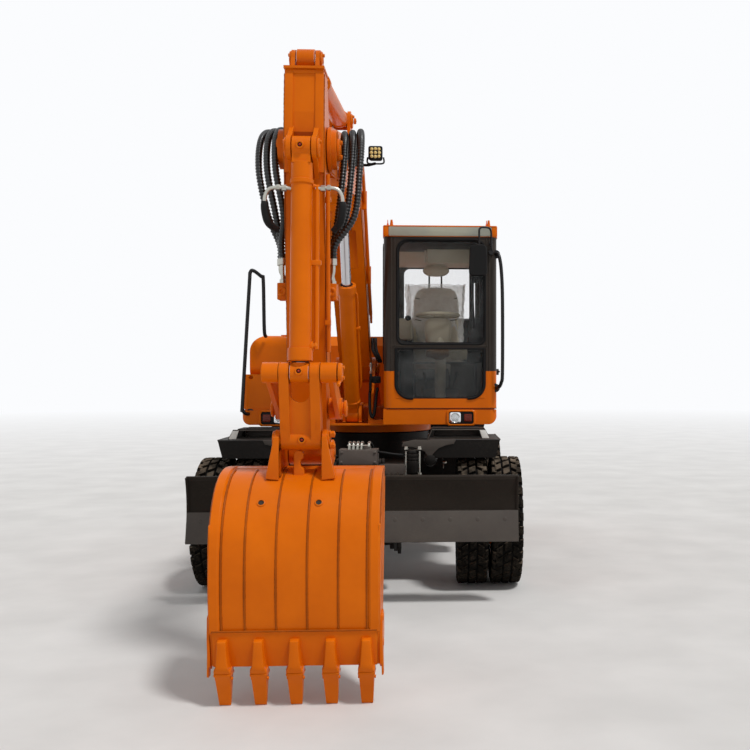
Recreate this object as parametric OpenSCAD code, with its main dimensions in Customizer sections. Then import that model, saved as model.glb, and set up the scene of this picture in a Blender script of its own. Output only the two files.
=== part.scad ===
/* [Stance] */
// Distance of the slew axis behind the part's origin
slew_back = 1049; // [1000:1:1100]
// Offset of the boom's centre plane from the slew axis
boom_x = -110; // [-140:5:-90]

/* [Undercarriage] */
// Front axle ahead of the slew axis
front_axle_f = 1150; // [1120:5:1180]
// Rear axle behind the slew axis
rear_axle_f = 1350; // [1300:5:1400]
// Outer radius of a tyre
tyre_r = 485; // [480:1:490]
// Width of one tyre
tyre_w = 232; // [220:1:240]
// Centre distance of twin tyres
twin_pitch = 255; // [250:1:262]
// Middle of a twin wheel from the centre line
track_half = 965; // [955:1:975]
// Outer radius of a rim's barrel
rim_r = 252; // [240:1:260]
// Radius of a rim's flange
flange_r = 272; // [266:1:280]
// Half width of the main frame
frame_half = 320; // [300:5:330]
// Underside of the main frame
frame_z0 = 640; // [640:1:660]
// Top of the main frame
frame_z1 = 900; // [880:5:920]
// Kingpin's distance from the centre line
kingpin_x = 600; // [595:1:610]
// Kingpin radius
kingpin_r = 24; // [20:1:28]
// Radius of a wheel's spindle
spindle_r = 55; // [50:1:60]
// Top of the mudguards
guard_z = 1118; // [1110:1:1125]
// Outer edge of the mudguards
guard_x = 1048; // [1030:1:1060]
// Inner edge of the mudguards
guard_in = 515; // [505:1:530]

/* [Blade] */
// Full width of the blade
blade_w = 2270; // [2200:5:2300]
// Lower edge of the blade
blade_z0 = 450; // [440:1:470]
// Upper edge of the blade
blade_z1 = 905; // [890:1:915]
// Back face of the blade ahead of the slew axis
blade_f = 1880; // [1872:1:1890]
// Length of a blade link between its pins
blade_link = 480; // [470:1:490]
// Slope of the links with the blade lifted
blade_slope = 40; // [38:0.5:42]

/* [Upper structure] */
// Underside of the upper structure
deck_z0 = 1210; // [1205:1:1215]
// Seam where the panels start
deck_z1 = 1333; // [1325:1:1340]
// Left edge of the upper structure in the front view
upper_x0 = -950; // [-970:5:-930]
// Right edge of the upper structure
upper_x1 = 1047; // [1040:1:1055]
// Front edge of the upper structure
upper_front = 1000; // [980:5:1010]
// Radius of the tail
tail_r = 2000; // [1980:5:2020]
// Front face of the counterweight, behind the slew axis
weight_f = 1480; // [1450:5:1520]
// Top of the counterweight
weight_z = 1900; // [1850:10:1930]
// Top of the engine hood
hood_z = 1965; // [1950:5:1985]
// Front of the engine hood, behind the slew axis
hood_f = 570; // [560:5:600]

/* [Cab] */
// Inner side of the cab
cab_x0 = 152; // [145:1:160]
// Rear wall of the cab, behind the slew axis
cab_back = 520; // [500:5:540]
// Lower edge of the dark cab frame
cab_split_z = 1631; // [1600:5:1660]
// Lower edge of the roof
roof_z0 = 2690; // [2680:1:2700]
// Top of the roof
roof_z1 = 2778; // [2765:1:2790]
// Thickness of the cab's walls
wall = 52; // [45:1:60]
// Radius of the cab's upright corners
cab_corner = 70; // [60:1:80]
// Running gap round the door
door_gap = 6; // [5:0.5:8]
// Thickness of the window panes
pane = 6; // [5:0.5:8]

/* [Boom] */
// Width of the boom
boom_w = 250; // [240:1:256]
// Boom foot pin ahead of the slew axis
foot_f = 320; // [300:1:340]
// Height of the boom foot pin
foot_z = 1640; // [1620:1:1660]
// Arm pivot ahead of the slew axis
pivot_f = 3520; // [3500:1:3540]
// Height of the arm pivot
pivot_z = 2800; // [2790:1:2810]
// Middle of the boom's knee ahead of the slew axis
knee_f = 1650; // [1630:1:1670]
// Height of the middle of the boom's knee
knee_z = 3060; // [3050:1:3070]
// Depth of the boom at its knee
knee_d = 400; // [380:2:410]
// Radius of the boom's foot
foot_r = 105; // [100:1:115]
// Depth of the boom below its line from foot to knee
belly = 75; // [70:1:85]
// Radius of the boom's tip
tip_r = 118; // [112:1:122]

/* [Arm and bucket] */
// Width of the arm
arm_w = 200; // [190:1:204]
// Pin of the bucket ahead of the slew axis
bucket_pin_f = 3500; // [3490:1:3510]
// Height of the bucket's pin
bucket_pin_z = 1190; // [1185:1:1200]
// Height of the rocker's pin on the arm
rocker_pin_z = 1420; // [1415:1:1430]
// Width of the bucket over its side plates
bucket_w = 806; // [780:2:820]
// Thickness of the bucket's plates
bucket_wall = 16; // [12:1:20]
// Distance between teeth
tooth_pitch = 171; // [165:1:175]
// Width of a tooth
tooth_w = 66; // [60:1:72]

/* [Pins and cylinders] */
// Radius of the large pins
pin_r = 35; // [32:1:38]
// Running clearance of a pin in its bore
pin_gap = 0.3; // [0.2:0.1:0.5]
// Gap between plates that move past each other
side_gap = 6; // [5:0.5:8]
// Thickness of the linkage plates
plate = 24; // [20:1:26]
// Outer radius of the boom cylinder
boom_cyl_r = 62; // [58:1:66]
// Radius of the boom cylinder's rod
boom_rod_r = 36; // [32:1:40]
// Outer radius of the arm cylinder
arm_cyl_r = 58; // [54:1:62]
// Radius of the arm cylinder's rod
arm_rod_r = 34; // [30:1:38]
// Outer radius of the bucket cylinder
bucket_cyl_r = 54; // [50:1:58]
// Radius of the bucket cylinder's rod
bucket_rod_r = 32; // [28:1:36]
// Half width of a cylinder's eye
eye_half = 46; // [42:1:48]

/* [Hidden] */
$fn = 48;

// Points of the side view, as distance ahead of the slew axis and height
foot = [foot_f, foot_z];
pivot = [pivot_f, pivot_z];
knee = [knee_f, knee_z];
boom_cyl_foot = [720, 1280];
boom_cyl_eye = [1550, 2780];
arm_cyl_foot = [1750, 3400];
arm_cyl_eye = [3620, 3245];
bucket_pin = [bucket_pin_f, bucket_pin_z];
rocker_pin = [bucket_pin_f, rocker_pin_z];
link_top = [3870, 1611];
link_foot = [3800, 1272];
bucket_cyl_top = [3790, 2750];
blade_low = [1482, 340];
blade_high = [1482, 560];
blade_step = blade_link * [cos(blade_slope), sin(blade_slope)];
blade_cyl_foot = [1330, 930];
blade_cyl_eye = blade_low + 330 * [cos(blade_slope), sin(blade_slope)];

// Colours
orange = "orange";
dark = [0.13, 0.12, 0.12];
chrome = [0.8, 0.8, 0.82];

// Unit vector from p to q, and its left normal
function unit(p, q) = (q - p) / norm(q - p);
function left(u) = [-u[1], u[0]];
function at(p, q, d) = p + d * unit(p, q);

// A side outline of [ahead, height] points, cut from plate w wide about x
module side(x, w) {
    translate([x, slew_back, 0])
        rotate([90, 0, -90])
            linear_extrude(w, center = true) children();
}

// Places a plan outline of [x, ahead] points, from z0 up to z1
module plan(z0, z1) {
    translate([0, slew_back, z0])
        mirror([0, 1, 0])
            linear_extrude(z1 - z0) children();
}

// A front outline of [x, z] points, from f0 forward to f1
module front(f0, f1) {
    translate([0, slew_back - f0, 0])
        rotate([90, 0, 0])
            linear_extrude(f1 - f0) children();
}

// A round bar along x at side point p
module across(p, x, len, r) {
    translate([x, slew_back - p[0], p[1]])
        rotate([0, 90, 0])
            cylinder(h = len, r = r, center = true);
}

// A round bar between two side points, in the plane at x
module bar(p, q, x, r) {
    translate([x, slew_back - p[0], p[1]])
        rotate([atan2(q[0] - p[0], q[1] - p[1]), 0, 0])
            cylinder(h = norm(q - p), r = r);
}

// A round rod through a list of points [x, ahead, z], with ball corners
module rail(points, r) {
    for (i = [0 : len(points) - 2])
        rail_piece(points[i], points[i + 1], r);
    for (i = [1 : len(points) - 2])
        translate([points[i][0], slew_back - points[i][1], points[i][2]])
            sphere(r = r + 0.4, $fn = 24);
}

module rail_piece(p, q, r) {
    d = [q[0] - p[0], p[1] - q[1], q[2] - p[2]];
    length = norm(d);
    translate([p[0], slew_back - p[1], p[2]])
        rotate([0, acos(d[2] / length), atan2(d[1], d[0])])
            cylinder(h = length, r = r, $fn = 24);
}

// Outline of a strap round two pins
module strap(p, q, rp, rq) {
    u = unit(p, q);
    a = acos((rp - rq) / norm(q - p));
    up = [u[0] * cos(a) - u[1] * sin(a), u[0] * sin(a) + u[1] * cos(a)];
    dn = [u[0] * cos(a) + u[1] * sin(a), -u[0] * sin(a) + u[1] * cos(a)];
    // The flanks start just inside the circles, which keeps the union's edges clean
    ip = rp - 0.06;
    iq = rq - 0.06;
    translate(p) circle(r = rp);
    translate(q) circle(r = rq);
    polygon([p + ip * dn, q + iq * dn, q + iq * up, p + ip * up]);
}

// A rectangle with rounded corners, from corner a to corner b
module rounded(a, b, r) {
    translate([a[0] + r, a[1]]) square([b[0] - a[0] - 2 * r, b[1] - a[1]]);
    translate([a[0], a[1] + r]) square([b[0] - a[0], b[1] - a[1] - 2 * r]);
    for (x = [a[0] + r, b[0] - r], y = [a[1] + r, b[1] - r])
        translate([x, y]) circle(r = r);
}

// Undercarriage

module chassis_frame() {
    color(dark) {
        difference() {
            union() {
                side(0, 2 * frame_half)
                    polygon([
                        [-rear_axle_f - 420, frame_z0 + 60], [-rear_axle_f - 330, frame_z0],
                        [front_axle_f + 240, frame_z0], [front_axle_f + 300, frame_z0 + 60],
                        [front_axle_f + 300, frame_z1 - 80], [front_axle_f + 180, frame_z1],
                        [-rear_axle_f - 330, frame_z1], [-rear_axle_f - 420, frame_z1 - 80]
                    ]);
                plan(frame_z1 - 60, turntable_z0) circle(r = 500, $fn = 96);
            }
            // Hollow of the turntable tower
            plan(frame_z0 - 1, turntable_z0 + 1) circle(r = 250, $fn = 96);
            // Pockets in the nose for the blade cylinders
            for (s = [-1, 1])
                plan(frame_z0 - 1, frame_z1 + 1)
                    translate([s * blade_cyl_x - 56, front_axle_f + 122]) square([112, 300]);
        }
        // Post of the valve box
        plan(frame_z1 - 90, valve_z0) translate([-68, front_axle_f + 235]) square([136, 60]);
        // Cheeks that carry the blade's links, outside each pair of links
        for (s = [-1, 1])
            side(s * (blade_link_x + plate / 2 + side_gap / 2 + plate / 2), plate)
                difference() {
                    polygon([
                        [front_axle_f + 200, frame_z1 - 20], [front_axle_f + 200, 330],
                        [blade_low[0] - 40, 285], [blade_low[0] + 30, 285],
                        [blade_low[0] + 60, 340], [blade_high[0] + 50, blade_high[1] + 40],
                        [front_axle_f + 310, frame_z1 - 60]
                    ]);
                    for (p = [blade_low, blade_high])
                        translate(p) circle(r = pin_r * 0.7 + pin_gap);
                }
        // Cross tube between the cheeks
        side(0, 2 * (blade_link_x + side_gap / 2))
            translate([front_axle_f + 190, 330]) square([55, frame_z0 + 40 - 330]);
        // Tool box and battery box between the axles, each with a ladder outside
        for (s = [-1, 1]) {
            translate([s > 0 ? frame_half - 1 : -box_out, slew_back - 240, frame_z0 - 60])
                cube([box_out - frame_half + 1, 720, 320]);
            for (f = [-270, 30])
                side(s * (box_out + 120), 240)
                    polygon([[f, frame_z1 - 40], [f, 430], [f + 8, 430], [f + 8, frame_z1 - 40]]);
            for (z = [430, 640, frame_z1 - 40])
                side(s * (box_out + 125), 250) translate([-270, z]) square([308, 14]);
        }
        // Towing jaw at the rear
        side(0, 150)
            difference() {
                rounded([-rear_axle_f - 520, frame_z0 + 70], [-rear_axle_f - 390, frame_z0 + 180], 20);
                translate([-rear_axle_f - 521, frame_z0 + 108]) square([90, 36]);
            }
        // Ears of the blade cylinders
        for (s = [-1, 1], e = [-1, 1])
            side(s * blade_cyl_x + e * (blade_eye_half + side_gap + 8), 16)
                difference() {
                    union() {
                        translate(blade_cyl_foot) circle(r = 42);
                        polygon([
                            [blade_cyl_foot[0] - 130, frame_z1 - 30],
                            [blade_cyl_foot[0] - 8, frame_z1 - 45],
                            blade_cyl_foot + [42, 0], blade_cyl_foot - [42, 0]
                        ]);
                    }
                    translate(blade_cyl_foot) circle(r = 20 + pin_gap);
                }
    }
}

box_out = 620;
valve_z0 = 942;
turntable_z0 = 1062;
turntable_z1 = 1192;
ring_r = 440;

module turntable() {
    color([0.2, 0.2, 0.2])
        difference() {
            union() {
                plan(turntable_z0, turntable_z0 + 50) circle(r = 500, $fn = 96);
                plan(turntable_z0 + 50, turntable_z1) circle(r = ring_r, $fn = 96);
            }
            plan(turntable_z0 - 1, turntable_z1 + 1) circle(r = 330, $fn = 96);
        }
}

axle_z = tyre_r;
hub_in = track_half - twin_pitch / 2 - 75;
spindle_end = track_half + 95;
yoke_half = 118;
yoke_plate = 28;

// A cone or tube along x from x0 to x1, on an axle's centre line
module axle_cone(f, x0, x1, r0, r1) {
    translate([x0, slew_back - f, axle_z])
        rotate([0, 90, 0])
            cylinder(h = x1 - x0, r1 = r0, r2 = r1);
}

module axle_body(f, half, tip_radius) {
    for (s = [0, 1])
        mirror([s, 0, 0]) {
            axle_cone(f, 0, 110, 150, 150);
            axle_cone(f, 110, 240, 150, 92);
            axle_cone(f, 240, half, 92, tip_radius);
        }
    // Pad that the main frame stands on
    translate([-230, slew_back - f - 80, axle_z])
        cube([460, 160, frame_z0 - axle_z]);
}

module front_axle() {
    web_x = kingpin_x - 58;
    color(dark) {
        difference() {
            union() {
                axle_body(front_axle_f, web_x, 80);
                for (s = [-1, 1]) {
                    translate([s * (web_x - 15) - 15, slew_back - front_axle_f - 60, axle_z - yoke_half - yoke_plate])
                        cube([30, 120, 2 * (yoke_half + yoke_plate)]);
                    for (z = [axle_z - yoke_half - yoke_plate, axle_z + yoke_half])
                        plan(z, z + yoke_plate) {
                            translate([s * kingpin_x, front_axle_f]) circle(r = 55);
                            translate([s * (web_x + kingpin_x) / 2, front_axle_f])
                                square([kingpin_x - web_x + 30, 110], center = true);
                        }
                }
            }
            // Flat side of the yoke's web, clear of the knuckle
            for (s = [-1, 1])
                plan(axle_z - yoke_half, axle_z + yoke_half)
                    translate([s * kingpin_x, front_axle_f]) circle(r = 56);
            // Room that the steering arms swing in
            for (s = [-1, 1])
                plan(axle_z - 50, axle_z + 50)
                    translate([s * kingpin_x, front_axle_f])
                        polygon([[0, 0], [-s * 48, 34], [-s * 142, -145], [-s * 142, -195], [0, -195]]);
        }
        for (s = [-1, 1])
            plan(axle_z - yoke_half - yoke_plate, axle_z + yoke_half + yoke_plate)
                translate([s * kingpin_x, front_axle_f]) circle(r = kingpin_r);
        // Neck of the drive pinion, above the steering cylinder
        bar([front_axle_f - 150, shaft_z], [front_axle_f - 80, shaft_z], 0, 46);
        // Steering cylinder behind the axle
        difference() {
            union() {
                across([front_axle_f - tie_back, axle_z], 0, 520, 38);
                for (x = [-200, 200])
                    translate([x - 12, slew_back - front_axle_f, axle_z - 45])
                        cube([24, tie_back, 90]);
            }
            across([front_axle_f - tie_back, axle_z], 0, 540, tie_r + pin_gap);
        }
    }
}

shaft_z = 575;
tie_back = 190;
tie_r = 17;
steer_arm_x = kingpin_x - 20;

module knuckle(s) {
    color(dark)
        difference() {
            union() {
                plan(axle_z - yoke_half + 1, axle_z + yoke_half - 1)
                    translate([s * kingpin_x, front_axle_f]) circle(r = 50);
                axle_cone_side(s, kingpin_x, hub_in - 22, 78, 78);
                axle_cone_side(s, hub_in - 30, spindle_end, spindle_r, spindle_r);
                // Steering arm to the tie rod
                plan(axle_z - 44, axle_z - 24)
                    steer_arm_outline(s);
                plan(axle_z + 24, axle_z + 44)
                    steer_arm_outline(s);
            }
            plan(axle_z - yoke_half, axle_z + yoke_half)
                translate([s * kingpin_x, front_axle_f]) circle(r = kingpin_r + pin_gap);
        }
}

module steer_arm_outline(s) {
    p = [s * kingpin_x, front_axle_f];
    q = [s * steer_arm_x, front_axle_f - tie_back];
    strap(p, q, 48, 26);
}

module axle_cone_side(s, x0, x1, r0, r1) {
    mirror([s < 0 ? 1 : 0, 0, 0]) axle_cone(front_axle_f, x0, x1, r0, r1);
}

module knuckle_left() {
    knuckle(1);
}

module knuckle_right() {
    knuckle(-1);
}

module tie_rod() {
    color(chrome)
        across([front_axle_f - tie_back, axle_z], 0, 2 * steer_arm_x, tie_r);
}

module rear_axle() {
    color(dark) {
        axle_body(-rear_axle_f, hub_in - 22, 84);
        bar([-rear_axle_f + 80, axle_z], [-rear_axle_f + 190, axle_z], 0, 46);
        for (s = [0, 1])
            mirror([s, 0, 0])
                axle_cone(-rear_axle_f, hub_in - 30, spindle_end, spindle_r, spindle_r);
    }
}

module driveline() {
    color([0.2, 0.2, 0.2]) {
        // Transfer gearbox under the frame
        side(0, 380)
            rounded([-260, frame_z0 - 230], [120, frame_z0], 40);
        // Shafts to both axles, with their flanges and joints
        bar([120, shaft_z], [front_axle_f - 150, shaft_z], 0, 30);
        bar([-rear_axle_f + 190, axle_z], [-260, axle_z], 0, 30);
        for (f = [120, front_axle_f - 164])
            bar([f, shaft_z], [f + 14, shaft_z], 0, 46);
        for (f = [-rear_axle_f + 190, -274])
            bar([f, axle_z], [f + 14, axle_z], 0, 46);
        for (f = [190, front_axle_f - 225])
            across([f, shaft_z], 0, 84, 26);
        for (f = [-rear_axle_f + 260, -340])
            across([f, axle_z], 0, 84, 26);
    }
}

// One mudguard over a pair of twin wheels, as a tray with sloping ends
module guard(s, f0, f1) {
    t = 10;
    module tray(d) {
        front(f0 + d, f1 - d)
            polygon([
                [s * (guard_in + d), guard_z - d], [s * (guard_x - d), guard_z - d],
                [s * (guard_x - 36 - d), guard_z - 138 - 2 * d], [s * (guard_in + d), guard_z - 138 - 2 * d]
            ]);
    }
    difference() {
        tray(0);
        tray(t);
        // Open underneath
        front(f0 + t, f1 - t)
            polygon([
                [s * (guard_in + t), guard_z - t], [s * (guard_x - 60), guard_z - t],
                [s * (guard_x - 60), guard_z - 200], [s * (guard_in + t), guard_z - 200]
            ]);
    }
    // Beam that carries the mudguard from the tower
    translate([s > 0 ? 300 : -guard_in, slew_back - (f0 + f1) / 2 - 60, guard_z - 110])
        cube([guard_in - 300, 120, 70]);
    // Step box on top
    front((f0 + f1) / 2 - 120, (f0 + f1) / 2 + 120)
        difference() {
            polygon([
                [s * 500, guard_z - 2], [s * 530, guard_z + 72], [s * 940, guard_z + 72],
                [s * 975, guard_z - 2]
            ]);
            polygon([
                [s * 545, guard_z + 8], [s * 560, guard_z + 62], [s * 900, guard_z + 62],
                [s * 915, guard_z + 8]
            ]);
        }
}

module mudguards() {
    color(dark)
        for (s = [-1, 1]) {
            guard(s, front_axle_f - 420, front_axle_f + 250);
            guard(s, -rear_axle_f - 340, -rear_axle_f + 340);
        }
}

module valve_box() {
    color("slategray") {
        front(1385, 1560) translate([-142, valve_z0]) square([282, 112]);
        translate([60, slew_back - 1500, valve_z0 + 112]) cylinder(h = 22, r = 30);
    }
}

// One rim: barrel with two flanges and a dished disc towards the hub
module rim(x, dish) {
    half = tyre_w / 2 - 12;
    profile = [
        [-half, rim_r - 16], [half, rim_r - 16], [half, flange_r], [half - 10, flange_r],
        [half - 10, rim_r], [-half + 10, rim_r], [-half + 10, flange_r], [-half, flange_r]
    ];
    translate([x, 0, 0])
        rotate([0, 90, 0])
            rotate_extrude($fn = 96)
                polygon([for (p = profile) [p[1], p[0]]]);
    // Disc from the barrel to the mounting face
    translate([x, 0, 0])
        rotate([0, 90, 0])
            rotate_extrude($fn = 96)
                polygon([
                    [rim_r - 10, dish * 20], [rim_r - 10, dish * 36], [190, dish * (twin_pitch / 2)],
                    [90, dish * (twin_pitch / 2)], [90, dish * (twin_pitch / 2 - 14)],
                    [184, dish * (twin_pitch / 2 - 14)]
                ]);
}

module twin_wheel(s, f) {
    color(orange)
        translate([s * track_half, slew_back - f, axle_z])
            difference() {
                union() {
                    rim(-twin_pitch / 2, 1);
                    rim(twin_pitch / 2, -1);
                    rotate([0, 90, 0])
                        cylinder(h = 2 * (spindle_end - track_half), r = 110, center = true);
                    translate([s * (spindle_end - track_half), 0, 0])
                        rotate([0, 90, 0])
                            cylinder(h = 40, r = 80, center = true);
                }
                // Bore of the hub, blind on the outside
                translate([-s * 30, 0, 0])
                    rotate([0, 90, 0])
                        cylinder(h = 2 * (spindle_end - track_half) + 70, r = spindle_r + pin_gap, center = true);
            }
}

// A pair of tyres as a crowned section turned round the wheel's axis
module twin_tyres(s, f) {
    half = tyre_w / 2;
    section = [
        [-half + 22, rim_r + 0.5], [half - 22, rim_r + 0.5], [half - 22, flange_r + 4], [half - 6, flange_r + 30],
        [half, (flange_r + tyre_r) / 2 - 10], [half - 3, tyre_r - 60], [half - 8, tyre_r - 22], [half - 22, tyre_r - 4],
        [half - 60, tyre_r], [-half + 60, tyre_r], [-half + 22, tyre_r - 4], [-half + 8, tyre_r - 22],
        [-half + 3, tyre_r - 60], [-half, (flange_r + tyre_r) / 2 - 10], [-half + 6, flange_r + 30],
        [-half + 22, flange_r + 4]
    ];
    color([0.1, 0.1, 0.1])
        for (e = [-1, 1])
            translate([s * track_half + e * twin_pitch / 2, slew_back - f, axle_z])
                rotate([0, 90, 0])
                    rotate_extrude($fn = 96)
                        polygon([for (p = section) [p[1], p[0]]]);
}

module wheel_front_left() {
    twin_wheel(1, front_axle_f);
}

module wheel_front_right() {
    twin_wheel(-1, front_axle_f);
}

module wheel_rear_left() {
    twin_wheel(1, -rear_axle_f);
}

module wheel_rear_right() {
    twin_wheel(-1, -rear_axle_f);
}

module tyres_front_left() {
    twin_tyres(1, front_axle_f);
}

module tyres_front_right() {
    twin_tyres(-1, front_axle_f);
}

module tyres_rear_left() {
    twin_tyres(1, -rear_axle_f);
}

module tyres_rear_right() {
    twin_tyres(-1, -rear_axle_f);
}

// Blade and its parallel links

blade_link_x = 270;
blade_cyl_x = 130;
blade_eye_half = 26;
blade_pin_r = pin_r * 0.7;

module blade() {
    low = blade_low + blade_step;
    high = blade_high + blade_step;
    // Curved mouldboard, thick plate between two arcs
    h = blade_z1 - blade_z0;
    bend_r = 620;
    centre = [blade_f + 18 + bend_r, blade_z0 + h / 2];
    color(dark) {
        side(0, blade_w)
            intersection() {
                difference() {
                    translate(centre) circle(r = bend_r, $fn = 128);
                    translate(centre) circle(r = bend_r - 22, $fn = 128);
                }
                translate([blade_f, blade_z0 + 10]) square([90, h - 30]);
            }
        // Rolled upper edge
        side(0, blade_w) translate([blade_f + 58, blade_z1 - 34]) square([34, 34]);
        // Cutting edge
        side(0, blade_w)
            polygon([
                [blade_f + 44, blade_z0 + 205], [blade_f + 92, blade_z0], [blade_f + 112, blade_z0],
                [blade_f + 66, blade_z0 + 205]
            ]);
        // Stiffening box on the back, with slots that the links turn in
        difference() {
            side(0, 1500)
                polygon([
                    [blade_f - 20, blade_z0 + 110], [blade_f + 60, blade_z0 + 90],
                    [blade_f + 60, blade_z1 - 120], [blade_f - 20, blade_z1 - 140]
                ]);
            for (s = [-1, 1], c = [low, high])
                across(c, s * blade_link_x, 88, 46);
        }
        // Ears outside each link
        for (s = [-1, 1], e = [-1, 1])
            side(s * blade_link_x + e * (plate + side_gap / 2), plate)
                difference() {
                    union() {
                        strap(low, high, 46, 46);
                        polygon([
                            low - [0, 46], [blade_f + 30, low[1] - 60], [blade_f + 30, high[1] + 20],
                            high + [0, 46]
                        ]);
                    }
                    translate(low) circle(r = blade_pin_r + pin_gap);
                    translate(high) circle(r = blade_pin_r + pin_gap);
                }
    }
}

// One pair of blade links with the pins at both ends
module blade_links(p, r) {
    q = p + blade_step;
    color(dark)
        for (s = [-1, 1]) {
            side(s * blade_link_x, plate) strap(p, q, r, r);
            for (c = [p, q])
                across(c, s * blade_link_x, 3.5 * plate, blade_pin_r);
        }
}

module blade_links_lower() {
    blade_links(blade_low, 40);
    // Cross tube that ties both links and carries the cylinders' lugs
    color(dark) {
        across(blade_low + blade_step * 0.42, 0, 2 * blade_link_x, 28);
        for (s = [-1, 1], e = [-1, 1])
            side(s * blade_cyl_x + e * (blade_eye_half + side_gap + 8), 16)
                strap(blade_low + blade_step * 0.42, blade_cyl_eye, 40, 36);
    }
}

module blade_links_upper() {
    blade_links(blade_high, 34);
}

module blade_barrels() {
    color(dark)
        for (s = [-1, 1])
            cylinder_barrel(
                blade_cyl_foot, blade_cyl_eye, s * blade_cyl_x, 36, 20, 410, blade_eye_half, 20, 16, 52
            );
}

module blade_rods() {
    color(chrome)
        for (s = [-1, 1])
            cylinder_rod(blade_cyl_foot, blade_cyl_eye, s * blade_cyl_x, 20, 400, blade_eye_half, 30);
}

// A cylinder's barrel from its foot eye to its collar, with the bore of its rod. It starts at distance
// neck from the eye, past the lugs, and a narrower neck joins the two
module cylinder_barrel(p, q, x, r, rod_r, length, half, eye_pin, ear, neck) {
    n = 0.8 * r * left(unit(p, q));
    difference() {
        union() {
            bar(at(p, q, neck), at(p, q, length), x, r);
            bar(at(p, q, length - 62), at(p, q, length), x, r + 8);
            across(p, x, 2 * half, r + 4);
            side(x, 2 * half)
                polygon([p + n, at(p, q, neck + 6) + n, at(p, q, neck + 6) - n, p - n]);
        }
        bar(at(p, q, neck + 30), at(p, q, length + 1), x, rod_r + pin_gap);
    }
    // Pin through both ears
    across(p, x, 2 * (half + side_gap + ear), eye_pin);
}

// A cylinder's rod with a solid eye, which stays clear of its pin
module cylinder_rod(p, q, x, rod_r, length, half, eye_r) {
    bar(at(q, p, length), q, x, rod_r);
    across(q, x, 2 * half, eye_r);
}

// Upper structure

foot_plate_x = boom_w / 2 + side_gap;
foot_plate_t = 36;

module upper_frame() {
    notch_x0 = -575;
    color(orange) {
        difference() {
            union() {
                intersection() {
                    union() {
                        plan(deck_z0, deck_z1 - 10) deck_outline(0, notch_x0);
                        // The joint below the panels is a groove
                        plan(deck_z1 - 10, deck_z1) deck_outline(14, notch_x0);
                    }
                    front(-tail_r, upper_front + 1)
                        rounded([upper_x0, deck_z0], [upper_x1, deck_z1 + 200], 70);
                }
                plan(turntable_z0 + 60, deck_z0) circle(r = 520, $fn = 96);
                // Thin plate below the boom cylinder's foot
                plan(deck_z0 - 14, deck_z0 + 1)
                    translate([notch_x0, 500]) square([cab_x0 - notch_x0, 345]);
            }
            // Low floor of the bay in front of the boom
            translate([notch_x0, slew_back - 900, deck_z0 + 30]) cube([cab_x0 - notch_x0, 310, 200]);
            // Hollow under the deck plate, with ribs left between
            for (b = [[-900, -560, -1430, 760], [560, 990, -1430, 930]])
                plan(deck_z0 - 1, deck_z1 - 20)
                    translate([b[0], b[2]]) square([b[1] - b[0], b[3] - b[2]]);
            plan(turntable_z0 + 59, turntable_z1 + 8) circle(r = ring_r + 0.3, $fn = 96);
            // Recesses of the headlamps
            for (x = lamp_x)
                front(upper_front - 70, upper_front + 1)
                    translate([x - lamp_w / 2, lamp_z0]) square([lamp_w, lamp_h]);
        }
        // Plates that carry the boom's foot and the boom cylinder's foot
        for (s = [-1, 1])
            side(boom_x + s * (foot_plate_x + foot_plate_t / 2), foot_plate_t)
                difference() {
                    union() {
                        translate(foot) circle(r = 108);
                        translate(boom_cyl_foot) circle(r = 86);
                        polygon([
                            [-420, deck_z1 - 20], [foot_f - 100, foot_z + 40], [foot_f + 90, foot_z + 60],
                            boom_cyl_foot + [30, 80], boom_cyl_foot + [86, 0], [820, deck_z0 + 10],
                            [-420, deck_z0 + 10]
                        ]);
                    }
                    translate(foot) circle(r = pin_r + pin_gap);
                    translate(boom_cyl_foot) circle(r = pin_r + pin_gap);
                }
        // Inner lugs of the boom cylinder's foot, on a cross wall
        for (s = [-1, 1])
            side(boom_x + s * (eye_half + side_gap + 12), 24)
                difference() {
                    union() {
                        translate(boom_cyl_foot) circle(r = 74);
                        polygon([
                            boom_cyl_foot + [-30, 74], boom_cyl_foot + [60, -60], [760, deck_z0 + 10],
                            [560, deck_z0 + 10], [560, deck_z1 + 40]
                        ]);
                    }
                    translate(boom_cyl_foot) circle(r = pin_r + pin_gap);
                }
    }
}

module deck_outline(inset, notch_x0) {
    difference() {
        intersection() {
            rounded([upper_x0 + inset, -tail_r], [upper_x1 - inset, upper_front - inset], 60);
            circle(r = tail_r, $fn = 160);
        }
        translate([upper_x0 - 10, -tail_r - 10])
            square([upper_x1 - upper_x0 + 20, tail_r - weight_f + 10]);
        // Open front below the boom, and room for the boom cylinder's foot
        translate([notch_x0, 820]) square([cab_x0 - notch_x0, 400]);
        translate([boom_x - foot_plate_x, 612]) square([2 * foot_plate_x, 300]);
    }
}

lamp_x = [-700, 764];
lamp_w = 220;
lamp_h = 92;
lamp_z0 = deck_z0 + 12;

module headlamps() {
    for (x = lamp_x) {
        color([0.06, 0.06, 0.06])
            front(upper_front - 69.7, upper_front - 20)
                translate([x - lamp_w / 2 + 0.3, lamp_z0 + 0.3]) square([lamp_w - 0.6, lamp_h - 0.6]);
        color("white")
            translate([x - 45, slew_back - upper_front + 20, lamp_z0 + lamp_h / 2])
                rotate([90, 0, 0])
                    cylinder(h = 14, r = 38);
        color("orangered")
            front(upper_front - 20, upper_front - 8)
                translate([x + 15, lamp_z0 + 18]) square([78, lamp_h - 36]);
    }
}

module counterweight() {
    color(orange)
        difference() {
            union() {
                plan(deck_z0 - 6, weight_z - 90)
                    tail_outline(tail_r, upper_x1);
                plan(weight_z - 90, weight_z)
                    tail_outline(tail_r - 60, upper_x1 - 60);
            }
            // Recess that takes the lifting lugs
            plan(weight_z - 40, weight_z + 1)
                rounded([-300, -tail_r + 180], [397, -weight_f - 60], 40);
        }
}

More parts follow.
